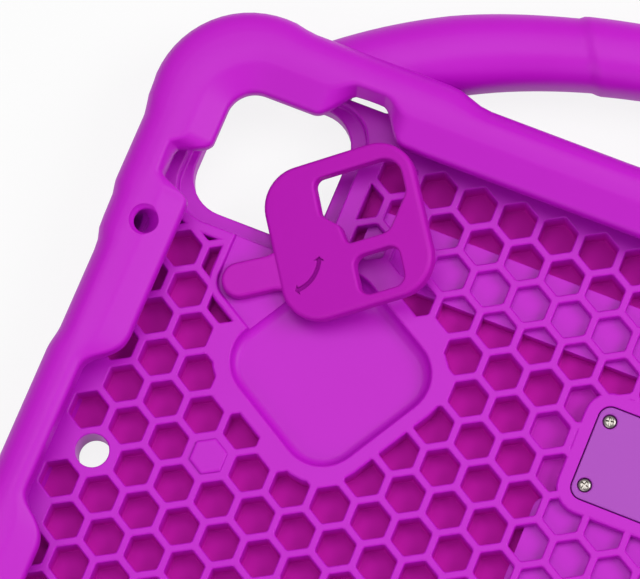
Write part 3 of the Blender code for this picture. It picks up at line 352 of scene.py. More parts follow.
stand_left = tuple((-x, y) for x, y in STAND_SIDE[::-1])
stand_recess = rounded(STAND_SIDE + stand_left, STAND_CORNERS + STAND_CORNERS[::-1])
thumb_notch = disc(THUMB_PLACE, THUMB_RADIUS, 40)
band_recess = oblong(BAND_MIDDLE, 174.6, 13.7, 2.5)
shaped(bed, solid("stand_recess", hollow_back(stand_recess, RECESS_CEILING)))
shaped(bed, solid("thumb_notch", hollow_back(thumb_notch, THUMB_CEILING)))
shaped(bed, solid("band_recess", hollow_back(band_recess, RECESS_CEILING)))


def skin_group():
    """Fine skin of moulded foam: broad mottling and close grain from two noises of the place."""
    tree = bpy.data.node_groups.new("moulded_skin", "ShaderNodeTree")
    tree.interface.new_socket("Place", in_out="INPUT", socket_type="NodeSocketVector")
    tree.interface.new_socket("Grain size", in_out="INPUT", socket_type="NodeSocketFloat")
    tree.interface.new_socket("Mottle", in_out="OUTPUT", socket_type="NodeSocketFloat")
    tree.interface.new_socket("Grain", in_out="OUTPUT", socket_type="NodeSocketFloat")
    nodes, links = tree.nodes, tree.links
    come = nodes.new("NodeGroupInput")
    leave = nodes.new("NodeGroupOutput")
    broad = nodes.new("ShaderNodeTexNoise")
    broad.inputs["Scale"].default_value = 38.0
    broad.inputs["Detail"].default_value = 3.0
    close = nodes.new("ShaderNodeTexNoise")
    close.inputs["Detail"].default_value = 4.0
    close.inputs["Roughness"].default_value = 0.6
    links.new(come.outputs["Place"], broad.inputs["Vector"])
    links.new(come.outputs["Place"], close.inputs["Vector"])
    links.new(come.outputs["Grain size"], close.inputs["Scale"])
    links.new(broad.outputs["Fac"], leave.inputs["Mottle"])
    links.new(close.outputs["Fac"], leave.inputs["Grain"])
    return tree


SKIN = skin_group()


def skinned_material(name, even, lit, tone_from, smooth, rough, grain):
    """Material on the skin's noises: a colour mixed from two and a gloss from the grain."""
    made = bpy.data.materials.new(name)
    made.use_nodes = True
    nodes, links = made.node_tree.nodes, made.node_tree.links
    place = nodes.new("ShaderNodeTexCoord")
    skin = nodes.new("ShaderNodeGroup")
    skin.node_tree = SKIN
    skin.inputs["Grain size"].default_value = grain
    links.new(place.outputs["Object"], skin.inputs["Place"])
    tone = nodes.new("ShaderNodeMix")
    tone.data_type = "RGBA"
    tone.inputs["A"].default_value = (*even, 1.0)
    tone.inputs["B"].default_value = (*lit, 1.0)
    links.new(skin.outputs[tone_from], tone.inputs["Factor"])
    worn = nodes.new("ShaderNodeMapRange")
    worn.inputs["To Min"].default_value = smooth
    worn.inputs["To Max"].default_value = rough
    links.new(skin.outputs["Grain"], worn.inputs["Value"])
    shader = nodes["Principled BSDF"]
    links.new(tone.outputs["Result"], shader.inputs["Base Color"])
    links.new(worn.outputs["Result"], shader.inputs["Roughness"])
    return made, shader, skin, tone, worn


def foam_material(name, painted_shade, even, lit, rough, gloss, grain):
    """Foam finish: colour mixed towards a painted shade, and gloss dulled, by a marked share,
    larger further below the bed, over a grained bump.
    """
    made, shader, skin, tone, worn = skinned_material(
        name, even, lit, "Mottle", rough - 0.05, rough + 0.06, grain
    )
    nodes, links = made.node_tree.nodes, made.node_tree.links
    shader.inputs["Specular IOR Level"].default_value = gloss
    shade_share = nodes.new("ShaderNodeAttribute")
    shade_share.attribute_name = "painted_shade_share"
    shade_mix = nodes.new("ShaderNodeMix")
    shade_mix.data_type = "RGBA"
    shade_mix.inputs["B"].default_value = (*painted_shade, 1.0)
    links.new(shade_share.outputs["Fac"], shade_mix.inputs["Factor"])
    links.new(tone.outputs["Result"], shade_mix.inputs["A"])
    links.new(shade_mix.outputs["Result"], shader.inputs["Base Color"])
    dull = nodes.new("ShaderNodeMath")
    dull.operation = "MULTIPLY_ADD"
    dull.inputs[1].default_value = 0.3
    links.new(shade_share.outputs["Fac"], dull.inputs[0])
    links.new(worn.outputs["Result"], dull.inputs[2])
    links.new(dull.outputs["Value"], shader.inputs["Roughness"])
    soft = nodes.new("ShaderNodeBevel")
    soft.samples = 6
    soft.inputs["Radius"].default_value = 0.35 * MM
    bump = nodes.new("ShaderNodeBump")
    bump.inputs["Strength"].default_value = 0.10
    bump.inputs["Distance"].default_value = 0.10 * MM
    links.new(skin.outputs["Grain"], bump.inputs["Height"])
    links.new(soft.outputs["Normal"], bump.inputs["Normal"])
    links.new(bump.outputs["Normal"], shader.inputs["Normal"])
    return made


def mesh_points(piece):
    """Points of a piece in case millimetres."""
    points = np.empty(len(piece.data.vertices) * 3)
    piece.data.vertices.foreach_get("co", points)
    return (points.reshape(-1, 3) - CASE_MIDDLE) / MM


def mark_painted_shade(piece, shade_share):
    """Write the share of painted shade at each point, for the foam's material."""
    mark = piece.data.attributes.new("painted_shade_share", "FLOAT", "POINT")
    mark.data.foreach_set("value", shade_share.astype(np.float32))


def mark_cells(piece):
    """Mark the honeycomb's painted shade: 0 down to the shallow cells' floor, rising to 1 at the
    deepest cells' floor.
    """
    points = mesh_points(piece)
    flat, level = points[:, :2], points[:, 2]
    inside = (np.abs(centres[:, None] - flat).max(-1) < CELL_PITCH * 0.6).any(0)
    beside_seat = SEAT_SIZE / 2 + 1.0
    storage_place = turned(flat - STORAGE_CENTRE, -STORAGE_SWING)
    inside &= np.abs(storage_place).max(-1) > beside_seat
    inside &= np.abs(flat - CAMERA_CENTRE).max(-1) > beside_seat
    inside &= (np.abs(flat - (0.0, PLATE_Y)) > PLATE_SIZE / 2 + 1.0).any(-1)
    inside &= level > -CELL_DEPTH - 0.1
    share = (-level - SHALLOW_DEPTH - 0.2) / (CELL_DEPTH - SHALLOW_DEPTH - 0.4)
    mark_painted_shade(piece, np.clip(share, 0.0, 1.0) * inside)


# Painted shade and bounce light in the honeycomb: the cells' floors and lower walls take a redder,
# less blue colour the lower they lie.
mark_cells(bed)
FOAM = foam_material(
    "magenta_foam", painted_shade=(0.60, 0.0, 0.455), even=(0.53, 0.004, 0.57), lit=(0.56, 0.008, 0.615),
    rough=0.42, gloss=0.25, grain=2600.0,
)
skinned(bed, FOAM)
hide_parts("case_body")
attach(bed, "case")

# Bumper, retaining lip and handle: the rest of the same foam moulding. The bumper's round section
# runs round the pocket and swells at the corners, its lip holds the tablet in and is cut back at
# the buttons and the two thumb notches, and the handle springs from the long side.

CORNER_RADIUS = 17.0
BUMPER_WIDTH = 7.7
LIP_REACH = 9.8
CORNER_SWELL = 3.7
CORNER_BULGE = 1.35
LIP_EDGE = 10.5
CROWN_OUT = 1.6
CROWN_LEVEL = 14.05
PLACE_STEP = 3.0
LEAST_STEP = 0.15
POWER_Y = 73.4
VOLUME_X = -98.9
SIDE_NOTCH = (0.0, 18.4, 23.6, 27.0, 120.0)
VOLUME_NOTCH = (0.0, 4.4, 9.4, 11.0, 300.0)
POWER_NOTCH = (-300.0, -8.2, -7.0, -4.0, 4.0, 6.4, 8.2, 300.0)
SHORT_SWELL = (
    (0.0, 18.0, 25.0, 47.0, 53.0, 60.0, 65.0, 82.0, 90.0),
    (1.1, 1.1, 0.2, 0.2, 1.5, 1.6, 2.4, 2.4, 3.6),
)
LONG_SWELL = (
    (0.0, 20.0, 31.0, 70.0, 81.0, 119.0, 124.0),
    (1.9, 1.9, -0.1, -0.1, 2.6, 2.7, CORNER_SWELL),
)


def easing(value, places, levels):
    """Levels joined by smooth steps: t * t * (3 - 2 t) between neighbouring places."""
    places = np.array(places, float)
    levels = np.array(levels, float)
    value = np.clip(value, places[0], places[-1])
    index = np.clip(np.searchsorted(places, value, side="right") - 1, 0, len(places) - 2)
    share = (value - places[index]) / (places[index + 1] - places[index])
    share = share * share * (3 - 2 * share)
    return levels[index] + (levels[index + 1] - levels[index]) * share


def bent(value, places, levels, window=1.3):
    """Levels joined by straight lines, whose corners are rounded by a mean over a short window."""
    shifts = np.linspace(-window, window, 9)
    return np.interp(np.asarray(value)[..., None] + shifts, places, levels).mean(-1)


def side_places(half, features):
    """Places along a side: about one each step, and close together over each (from, to, step)."""
    straight = half - CORNER_RADIUS
    places = [np.linspace(-straight, straight, int(2 * straight / PLACE_STEP) + 1)]
    for low, high, step in features:
        places.append(np.arange(low, high, step))
    merged = np.unique(np.round(np.concatenate(places), 3))
    keep = np.concatenate(([True], np.diff(merged) > LEAST_STEP))
    keep[-1] = True
    return merged[keep & (np.abs(merged) <= straight)]


def side_lip(y):
    """Reach and inner level of the lip along a short side, cut back at its thumb notch."""
    reach = bent(np.abs(y), SIDE_NOTCH, (1.9, 1.9, 8.2, LIP_REACH, LIP_REACH), 1.8)
    level = bent(np.abs(y), SIDE_NOTCH, (12.8, 12.8, 11.1, LIP_EDGE, LIP_EDGE), 1.8)
    return reach, level


def power_lip(y):
    """Reach and inner level of the lip on the left, also cut back at the power button's notch."""
    at_button = y - POWER_Y
    reaches = (LIP_REACH, LIP_REACH, 9.2, 1.5, 1.5, 8.3, LIP_REACH, LIP_REACH)
    levels = (LIP_EDGE, LIP_EDGE, 11.1, 12.4, 9.6, 10.3, LIP_EDGE, LIP_EDGE)
    reach, level = side_lip(y)
    reach = np.minimum(reach, bent(at_button, POWER_NOTCH, reaches, 0.7))
    return reach, np.where(y > 45.0, bent(at_button, POWER_NOTCH, levels, 0.7), level)


def volume_lip(x):
    """Reach and inner level of the lip below the handle, cut back at the volume buttons' notch."""
    from_buttons = np.abs(x - VOLUME_X)
    reach = bent(from_buttons, VOLUME_NOTCH, (1.2, 1.2, 8.6, LIP_REACH, LIP_REACH))
    level = bent(from_buttons, VOLUME_NOTCH, (9.0, 9.0, 10.4, LIP_EDGE, LIP_EDGE))
    return reach, level


thumb_places = [(-30.0, -17.0, 0.7), (17.0, 30.0, 0.7)]
power_places = [(POWER_Y - 10.0, POWER_Y - 4.0, 0.3), (POWER_Y + 4.0, POWER_Y + 10.0, 0.3)]
volume_places = [(VOLUME_X - 13.0, VOLUME_X - 3.5, 0.4), (VOLUME_X + 3.5, VOLUME_X + 13.0, 0.4)]
right_y = side_places(POCKET_HALF[1], thumb_places)
down_x = side_places(POCKET_HALF[0], volume_places)[::-1]
down_y = side_places(POCKET_HALF[1], thumb_places + power_places)[::-1]
low_x = side_places(POCKET_HALF[0], [])
full_lip = (np.full(len(low_x), LIP_REACH), np.full(len(low_x), LIP_EDGE))

corner_turn = np.radians(np.linspace(0.0, 90.0, 17))[1:-1]
walls, normals, swells, reaches, edges = [], [], [], [], []
sides = (
    (0, right_y, (1, 0), SHORT_SWELL, *side_lip(right_y)),
    (1, down_x, (0, 1), LONG_SWELL, *volume_lip(down_x)),
    (2, down_y, (-1, 0), SHORT_SWELL, *power_lip(down_y)),
    (3, low_x, (0, -1), LONG_SWELL, *full_lip),
)
for side, places, normal, swell, reach, edge in sides:
    normal = np.array(normal, float)
    along = np.abs(np.array((normal[1], normal[0])))
    walls.append(normal * POCKET_HALF + places[:, None] * along)
    normals.append(np.broadcast_to(normal, (len(places), 2)))
    swells.append(easing(np.abs(places), *swell))
    reaches.append(reach)
    edges.append(edge)
    turn = corner_turn + np.radians(90.0 * side)
    outward = np.stack((np.cos(turn), np.sin(turn)), -1)
    corner_sign = np.sign(outward.mean(0))
    walls.append(corner_sign * (POCKET_HALF - CORNER_RADIUS) + CORNER_RADIUS * outward)
    normals.append(outward)
    swells.append(CORNER_SWELL + CORNER_BULGE * np.sin(2 * corner_turn))
    reaches.append(np.full(len(turn), LIP_REACH))
    edges.append(np.full(len(turn), LIP_EDGE))
wall = np.concatenate(walls)
normal = np.concatenate(normals)
width = BUMPER_WIDTH + np.concatenate(swells)
reach = np.concatenate(reaches)
edge = np.concatenate(edges)

# The section's corners from the pocket's wall round the back and the crown to the lip: how far out
# of the wall, at which level, and how long a part of each side the corner's curve takes up.
zero = np.zeros_like(reach)
crease = np.maximum(-3.1, (CROWN_OUT - reach) * 0.35)
lip_out = (-LIP_REACH, -3.1, CROWN_OUT, 3.0)
crease_level = np.interp(crease, lip_out, (LIP_EDGE, 13.35, 13.97, CROWN_LEVEL))
profile = (
    (zero, zero + 7.6, 0.5),
    (zero, zero - 3.0, 0.3),
    (zero - 2.6, zero - 7.5, 0.3),
    (zero + 1.1, zero - 10.8, 1.2),
    (width - 3.5, zero - 10.8, 5.0),
    (width - 0.9, zero - 8.2, 5.0),
    (width, zero - 3.4, 6.0),
    (width, zero + 5.2, 6.0),
    (width - 0.7, zero + 10.6, 6.0),
    (width - 3.6, zero + 13.5, 5.0),
    (zero + CROWN_OUT, zero + CROWN_LEVEL, 4.0),
    (crease, crease_level, 0.9),
    (-reach, edge, 1.3),
    (-reach, zero + 7.6, 0.4),
)
control = np.stack([np.stack((out, level), -1) for out, level, soften in profile], axis=1)
soften = np.array([soften for out, level, soften in profile])
to_back = np.roll(control, 1, axis=1) - control
to_ahead = np.roll(control, -1, axis=1) - control
share_back = np.minimum(0.46, soften / np.linalg.norm(to_back, axis=2))[..., None]
share_ahead = np.minimum(0.46, soften / np.linalg.norm(to_ahead, axis=2))[..., None]
start = control + to_back * share_back
end = control + to_ahead * share_ahead
t = np.linspace(0.0, 1.0, 5)[:, None]
curve = start[:, :, None] * (1 - t) ** 2 + control[:, :, None] * 2 * t * (1 - t)
curve = (curve + end[:, :, None] * t**2).reshape(len(wall), -1, 2)
ring = np.concatenate((wall[:, None] + normal[:, None] * curve[..., :1], curve[..., 1:]), -1)
bumper = solid("bumper_and_handle", ring, ring=True)

GRIP_RADIUS = 195.0
GRIP_HALF = 70.0
LEG_RADIUS = 138.0
LEG_TURN = np.radians(52.0)
HANDLE_APEX_Y = 147.6
HANDLE_MID_Z = 1.0
HANDLE_HALF = (8.4, 8.2)
HANDLE_FULLNESS = 0.82
ROOT_SWELL = 1.1
ROOT_AT = 70.0
GRIP_SWELL = 0.65
GRIP_STEP = 53.0
STEP_SLANT = 0.32

meet = math.asin(GRIP_HALF / GRIP_RADIUS)
slope = np.concatenate((np.linspace(0.0, meet, 60), np.linspace(meet, LEG_TURN, 24)[1:]))
on_grip = slope <= meet
meet_y = HANDLE_APEX_Y - GRIP_RADIUS * (1 - math.cos(meet))
leg_x = GRIP_HALF + LEG_RADIUS * (np.sin(slope) - math.sin(meet))
leg_y = meet_y - LEG_RADIUS * (math.cos(meet) - np.cos(slope))
path_x = np.where(on_grip, GRIP_RADIUS * np.sin(slope), leg_x)
path_y = np.where(on_grip, HANDLE_APEX_Y - GRIP_RADIUS * (1 - np.cos(slope)), leg_y)
path_x = np.concatenate((-path_x[:0:-1], path_x))[:, None]
path_y = np.concatenate((path_y[:0:-1], path_y))[:, None]
slope = np.concatenate((-slope[:0:-1], slope))[:, None]
angle = np.linspace(0.0, 2 * np.pi, 44, endpoint=False)
across = np.sign(np.cos(angle)) * np.abs(np.cos(angle)) ** HANDLE_FULLNESS
up = np.sign(np.sin(angle)) * np.abs(np.sin(angle)) ** HANDLE_FULLNESS
step_at = GRIP_STEP + STEP_SLANT * HANDLE_HALF[0] * across
swell = GRIP_SWELL * (1 - easing(np.abs(path_x) - step_at, (-0.9, 0.9), (0.0, 1.0)))
swell = swell + ROOT_SWELL * np.minimum(np.abs(path_x) / ROOT_AT, 1.2) ** 2
across = across * (HANDLE_HALF[0] + swell)
up = up * (HANDLE_HALF[1] + swell)
bar_x = path_x + across * np.sin(slope)
bar_y = path_y + across * np.cos(slope)
handle = solid("handle", np.stack((bar_x, bar_y, HANDLE_MID_Z + up), -1))
root_y = POCKET_HALF[1] + 2.0
root_cut = np.array(((-135.0, 60.0), (135.0, 60.0), (135.0, root_y), (-135.0, root_y)))
shaped(handle, upright("root_cut", root_cut, -20.0, 20.0))
shaped(bumper, handle, "UNION")

BELOW_BUMPER = -14.0
SLOT_GAP = 0.25
volume_window = oblong((VOLUME_X - 1.6, POCKET_HALF[1] + 2.05), 12.6, 4.5, 1.6)
power_window = oblong((-POCKET_HALF[0] - 2.85, POWER_Y), 4.3, 10.8, 1.2)
power_hollow = oblong((-POCKET_HALF[0] - 0.2, POWER_Y), 9.0, 10.6, 1.2)
shaped(bumper, upright("volume_window", volume_window, BELOW_BUMPER, 8.6))
shaped(bumper, upright("power_window", power_window, BELOW_BUMPER, 8.4))
shaped(bumper, upright("power_hollow", power_hollow, 1.5, 8.6))
shaped(bed, upright("volume_slot", volume_window, BELOW_BUMPER, 2.0, SLOT_GAP))
shaped(bed, upright("power_slot", power_window, BELOW_BUMPER, 2.0, SLOT_GAP))

CORD_LOW_RADIUS = 2.4
CORD_TOP_RADIUS = 3.05
CORD_TOP_X = 138.6
CORD_LOW_X = 145.9
CORD_Y = 56.7
CORD_TOP = 12.0
CORD_STRAIGHT = 0.3
cord_levels = np.array((-14.0, -10.8, -10.3, 0.3, 12.0, 12.45, 12.85, 13.2, 15.0))
cord_grows = np.array((0.6, 0.5, 0.0, 0.0, 0.0, 0.1, 0.35, 0.8, 1.6))
cord_ring = disc((0.0, 0.0), 1.0, 36)


def cord_rows():
    """Rows of both holes: circles that move out evenly down to the bed, then go straight down."""
    share = np.clip((CORD_TOP - cord_levels) / (CORD_TOP - CORD_STRAIGHT), 0.0, 1.0)
    centre_x = CORD_TOP_X + (CORD_LOW_X - CORD_TOP_X) * share
    radius = CORD_TOP_RADIUS + (CORD_LOW_RADIUS - CORD_TOP_RADIUS) * share + cord_grows
    x = centre_x[:, None] + radius[:, None] * cord_ring[:, 0]
    y = CORD_Y + radius[:, None] * cord_ring[:, 1]
    level = np.broadcast_to(cord_levels[:, None], x.shape)
    right = np.stack((x, y, level), -1)
    return np.stack((right, right * (-1.0, 1.0, 1.0)))


shaped(bumper, solid("cord_holes", cord_rows()))

PORT_OUT = (136.0, 150.0, 150.6, 151.2, 154.5)
PORT_GROWS = (0.0, 0.0, 0.15, 0.6, 1.5)
port = stacked(oblong((0.0, 3.8), 24.0, 6.8, 2.5), PORT_OUT, PORT_GROWS)
shaped(bumper, solid("port", port[..., (2, 0, 1)]))
skinned(bumper, FOAM)
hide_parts("case_body")
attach(bumper, "case")

# Camera insert: a separate foam square with two windows that frames a camera of another layout. It
# swivels on the stud of its tab, which clips into the shelf, and an engraved arrow shows the way.

INSERT_SIZE = 40.2
INSERT_CORNER = 10.1
INSERT_THICKNESS = 3.8
INSERT_LOW_EDGE = 0.5
INSERT_TOP_EDGE = 1.15
HINGE_Y = -20.0
HINGE_LOW = -1.6
HINGE_ANGLE = 16.4
OPEN_ANGLE = -55.4
INSERT_SHIFT = np.array((-0.2, -1.0))
REST_GAP = 0.12


def on_insert(points):
    """Points given about the camera seat's middle, turned with the insert about the stud."""
    return turned(np.asarray(points, float) + CAMERA_CENTRE, OPEN_ANGLE, STUD)


def raised(rows):
    """Rows bent up at the tab's root, y cos - z sin and y sin + z cos, then turned with it."""
    x, ahead, level = rows[..., 0], rows[..., 1] - HINGE_Y, rows[..., 2]
    cos_hinge = math.cos(math.radians(HINGE_ANGLE))
    sin_hinge = math.sin(math.radians(HINGE_ANGLE))
    y = HINGE_Y + ahead * cos_hinge - level * sin_hinge
    z = HINGE_LOW + ahead * sin_hinge + level * cos_hinge
    flat = on_insert(np.stack((x, y), -1) + INSERT_SHIFT)
    return np.concatenate((flat, z[..., None]), -1)


def through(outline, edge):
    """Rows of a cutter right through the insert, flared above and below."""
    levels = [-1.0, -0.02, 0.4, *(INSERT_THICKNESS - edge + edge * np.sin(EASED))]
    levels += [INSERT_THICKNESS + 0.02, INSERT_THICKNESS + 1.0]
    grows = [0.5, 0.4, 0.0, *(edge * (1 - np.cos(EASED))), edge, edge + 0.05]
    return raised(stacked(outline, levels, grows))


quarter = np.radians((0.0, 22.0, 45.0, 68.0, 90.0))
insert_outline = oblong((0.0, 0.0), INSERT_SIZE, INSERT_SIZE, INSERT_CORNER, 0.0, 12)
low_levels = INSERT_LOW_EDGE * (1 - np.cos(quarter))
top_levels = INSERT_THICKNESS - INSERT_TOP_EDGE + INSERT_TOP_EDGE * np.sin(quarter)
low_grows = INSERT_LOW_EDGE * (np.sin(quarter) - 1)
top_grows = INSERT_TOP_EDGE * (np.cos(quarter) - 1)
insert_rows = stacked(insert_outline, [*low_levels, *top_levels], [*low_grows, *top_grows])
insert = solid("camera_insert_foam", raised(insert_rows))
below_insert = oblong(STUD + (18.0, 18.0), 90.0, 90.0, 5.0)
shaped(insert, upright("bed_rest", below_insert, -12.0, REST_GAP))

TAB_HALF = 4.5
TAB_LOW = -1.5
TAB_TOP = 1.8
TAB_EDGE = 0.9
ROOT_Y = np.array((-24.0, -22.6, -21.4, -20.4, -19.4, -18.6))
ROOT_HALF = TAB_HALF + np.array((0.0, 0.25, 0.8, 1.7, 3.0, 3.4))
back_round = np.radians(np.linspace(180.0, 360.0, 13))
tab_back = STUD_FROM_CAMERA + TAB_HALF * np.stack((np.cos(back_round), np.sin(back_round)), -1)
stud_x = STUD_FROM_CAMERA[0]
tab_front = ((stud_x + TAB_HALF, ROOT_Y[-1]), (stud_x - TAB_HALF, ROOT_Y[-1]))
tab = on_insert(np.concatenate((tab_back, tab_front)))
root_right = np.stack((stud_x + ROOT_HALF, ROOT_Y), -1)
root_left = np.stack((stud_x - ROOT_HALF, ROOT_Y), -1)
root = on_insert(np.concatenate((root_right, root_left[::-1])))
eased_top = TAB_TOP - TAB_EDGE + TAB_EDGE * np.sin(quarter)
tab_grows = [0.0, *(TAB_EDGE * (np.cos(quarter) - 1))]
stud_head = stacked(disc(STUD, 3.6, 32), (-6.3, -6.0, -5.1), (-0.5, 0.0, 0.0))
shaped(insert, solid("tab", stacked(tab, [TAB_LOW, *eased_top], tab_grows)), "UNION")
shaped(insert, solid("tab_root", stacked(root, [REST_GAP, *eased_top], tab_grows)), "UNION")
shaped(insert, upright("stud", disc(STUD, 2.2, 24), -5.4, -0.5), "UNION")
shaped(insert, solid("stud_head", stud_head), "UNION")

LARGE_CORNERS = (
    (-15.4, -5.8), (-6.0, -6.0), (-2.0, -1.7), (3.2, -0.8),
    (3.3, 10.4), (-5.2, 17.0), (-15.3, 17.0),
)
LARGE_RADII = (2.2, 2.6, 2.6, 1.6, 3.6, 3.0, 5.2)
WINDOW_EDGE = 0.75
large = rounded(LARGE_CORNERS, LARGE_RADII, 8)
small = oblong((12.1, 5.8), 10.4, 12.1, 2.8)
shaped(insert, solid("large_window", through(large, WINDOW_EDGE)))
shaped(insert, solid("small_window", through(small, WINDOW_EDGE)))

ARROW_POINTS = np.array(((4.4, -8.5), (9.3, -11.5), (11.0, -16.4)))
ARROW_HALF = 0.5
ARROW_BARB = 1.05
ARROW_HEAD = 0.8
ARROW_DEPTH = 0.8


def arrow_outline():
    """Double-headed arrow along the circle through three points, with a small barb at each end."""
    (ax, ay), (bx, by), (cx, cy) = ARROW_POINTS
    system = 2 * np.array(((bx - ax, by - ay), (cx - ax, cy - ay)))
    right = np.array((bx**2 + by**2 - ax**2 - ay**2, cx**2 + cy**2 - ax**2 - ay**2))
    centre = np.linalg.solve(system, right)
    radius = math.hypot(ax - centre[0], ay - centre[1])
    first = math.atan2(ay - centre[1], ax - centre[0])
    last = math.atan2(cy - centre[1], cx - centre[0])
    head = ARROW_HEAD / radius * np.sign(last - first)
    sweep = np.linspace(first + head, last - head, 14)
    far, near = sweep[-1], sweep[0]
    angle = np.array((*sweep, far, last, far, *sweep[::-1], near, first, near))
    side = np.array((*np.full(len(sweep), ARROW_HALF), ARROW_BARB, 0.0, -ARROW_BARB))
    out = np.concatenate((side, -side))
    outline = centre + (radius + out)[:, None] * np.stack((np.cos(angle), np.sin(angle)), -1)
    x, y = outline.T
    area = (x * np.roll(y, -1) - np.roll(x, -1) * y).sum()
    return outline if area > 0 else outline[::-1]


arrow_levels = (INSERT_THICKNESS - ARROW_DEPTH, INSERT_THICKNESS - 0.1, INSERT_THICKNESS + 0.5)
arrow_rows = raised(stacked(arrow_outline(), arrow_levels, (0.0, 0.1, 0.2)))
shaped(insert, solid("arrow", arrow_rows))


def mark_arrow(piece):
    """Mark the arrow's floor for painted shade, found by the distance to its outline."""
    gap = np.linalg.norm(mesh_points(piece)[:, None] - arrow_rows[0], axis=-1).min(1)
    mark_painted_shade(piece, gap < 0.05)


# Painted shade in the engraved arrow: its floor takes a darker colour, the shade inside the groove.
mark_arrow(insert)
# The insert's even and mottled tones are a darker copy of the bed's foam: painted shade for its
# tilted face.
INSERT_FOAM = foam_material(
    "insert_foam", painted_shade=(0.36, 0.0, 0.35), even=(0.49, 0.005, 0.465), lit=(0.51, 0.007, 0.49),
    rough=0.48, gloss=0.16, grain=3200.0,
)
skinned(insert, INSERT_FOAM)
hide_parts("camera_insert")
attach(insert, "insert")
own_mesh(insert)

# Stand bracket and leg: moulded plastic parts on the back. The screws of the plate pull the bracket
# up into its recess, and the leg hinges from it on a steel pin.


def plastic_material(name, even, lit, rough):
    """Satin moulded plastic: even colour with faint mottling and a fine spark-eroded grain."""
    made, shader, skin, _, _ = skinned_material(
        name, even, lit, "Mottle", rough - 0.04, rough + 0.05, 4200.0
    )
    nodes, links = made.node_tree.nodes, made.node_tree.links
    shader.inputs["Specular IOR Level"].default_value = 0.34
    bump = nodes.new("ShaderNodeBump")
    bump.inputs["Strength"].default_value = 0.12
    bump.inputs["Distance"].default_value = 0.04 * MM
    links.new(skin.outputs["Grain"], bump.inputs["Height"])
    links.new(bump.outputs["Normal"], shader.inputs["Normal"])
    return made


def eased_copy(node, name, width):
    """Copy of a solid with its triangles merged into faces and every edge rounded by a bevel."""
    shape = bmesh.new()
    shape.from_mesh(frame["nodes"][node].data)
    bmesh.ops.remove_doubles(shape, verts=shape.verts, dist=1e-6)
    flat = math.radians(1.0)
    bmesh.ops.dissolve_limit(shape, angle_limit=flat, verts=shape.verts, edges=shape.edges)
    mesh = bpy.data.meshes.new(name)
    shape.to_mesh(mesh)
    shape.free()
    piece = bpy.data.objects.new(name, mesh)
    bpy.context.scene.collection.objects.link(piece)
    rounding = piece.modifiers.new("eased edges", "BEVEL")
    rounding.width = width * MM
    rounding.segments = 3
    rounding.limit_method = "ANGLE"
    rounding.angle_limit = math.radians(50.0)
    return piece


STAND_PLASTIC = plastic_material("stand_plastic", (0.40, 0.030, 0.50), (0.44, 0.040, 0.54), 0.40)
bracket = eased_copy("stand_bracket", "bracket", 0.25)
skinned(bracket, STAND_PLASTIC, 60.0)
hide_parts("stand_bracket")
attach(bracket, "case")

leg = eased_copy("stand_leg", "leg", 0.3)
skinned(leg, STAND_PLASTIC, 60.0)
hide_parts("stand_leg")
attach(leg, "leg")

# Retaining plate: a lilac plastic plate let into the bed flush with the honeycomb, with a
# countersunk seat for each of its four screws.

PLATE_EDGE = 0.28
SINK_RADIUS = 1.83
SINK_LEVELS = (-1.5, -0.25, -0.08, 0.02, 1.0)
SINK_GROWS = (0.0, 0.0, 0.12, 0.45, 0.5)
BORE_RADIUS = 1.3
plate_outline = oblong((0.0, PLATE_Y), *PLATE_SIZE, PLATE_CORNER, 0.0, 8)
plate_levels = [-PLATE_THICKNESS, *(-PLATE_EDGE + PLATE_EDGE * np.sin(quarter))]
plate_grows = [0.0, *(PLATE_EDGE * (np.cos(quarter) - 1))]
plate = solid("lilac_plate", stacked(plate_outline, plate_levels, plate_grows))
sinks = disc((0.0, 0.0), SINK_RADIUS, 32) + screw_places[:, None]
bores = disc((0.0, 0.0), BORE_RADIUS, 24) + screw_places[:, None]
shaped(plate, solid("sinks", stacked(sinks, SINK_LEVELS, SINK_GROWS)))
shaped(plate, upright("bores", bores, -3.0, 1.0))
PLATE_PLASTIC = plastic_material("lilac_plastic", (0.39, 0.048, 0.49), (0.42, 0.056, 0.52), 0.42)
skinned(plate, PLATE_PLASTIC)
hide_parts("retaining_plate")
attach(plate, "case")

# Screws: four small steel self-tapping screws with low domed heads and a cross recess. Each is one
# turned profile, and the cross is pressed in at its own angle.

CROSS_ANGLES = (12.0, 50.0, 71.0, 33.0)
CROSS_LENGTH = 2.2
CROSS_WIDTH = 0.6
SCREW_PROFILE = np.array((
    (0.02, -7.2), (0.5, -6.9), (0.98, -6.3), (1.0, -1.2), (1.3, -1.15), (1.64, -0.75),
    (1.68, -0.5), (1.56, -0.26), (1.3, -0.1), (0.9, -0.02), (0.3, 0.0),
))


def steel_material():
    """Bright plated steel, with a fine unevenness in its tone and its gloss."""
    made, shader, _, _, _ = skinned_material(
        "plated_steel", (0.26, 0.23, 0.21), (0.46, 0.43, 0.40), "Grain", 0.20, 0.38, 1500.0
    )
    shader.inputs["Metallic"].default_value = 1.0
    return made


STEEL = steel_material()
screw_ring = disc((0.0, 0.0), 1.0, 40)
for number, (centre, angle) in enumerate(zip(screw_places, CROSS_ANGLES), start=1):
    flat = centre + SCREW_PROFILE[:, :1, None] * screw_ring
    level = np.broadcast_to(SCREW_PROFILE[:, 1:, None], flat.shape[:-1] + (1,))
    screw = solid(f"cross_screw_{number}", np.concatenate((flat, level), -1))
    for arm in (0.0, 90.0):
        slot = oblong(centre, CROSS_LENGTH, CROSS_WIDTH, 0.12, angle + arm, 2)
        shaped(screw, solid("cross", stacked(slot, (-0.95, -0.1, 0.5), (-0.14, 0.0, 0.02))))
    skinned(screw, STEEL)
    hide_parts(f"screw_{number}")
    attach(screw, "case")

# Hinge pin: plain steel pin of the stand, as the solid has it.

pin = frame["nodes"]["stand_pin"]
pin.data.materials.clear()
pin.data.materials.append(STEEL)

# Setting: a plain pale floor under the case, which shows white and keeps the shadow. A broad soft
# lamp stands to the right and behind, with a weaker one overhead and the weakest in front.

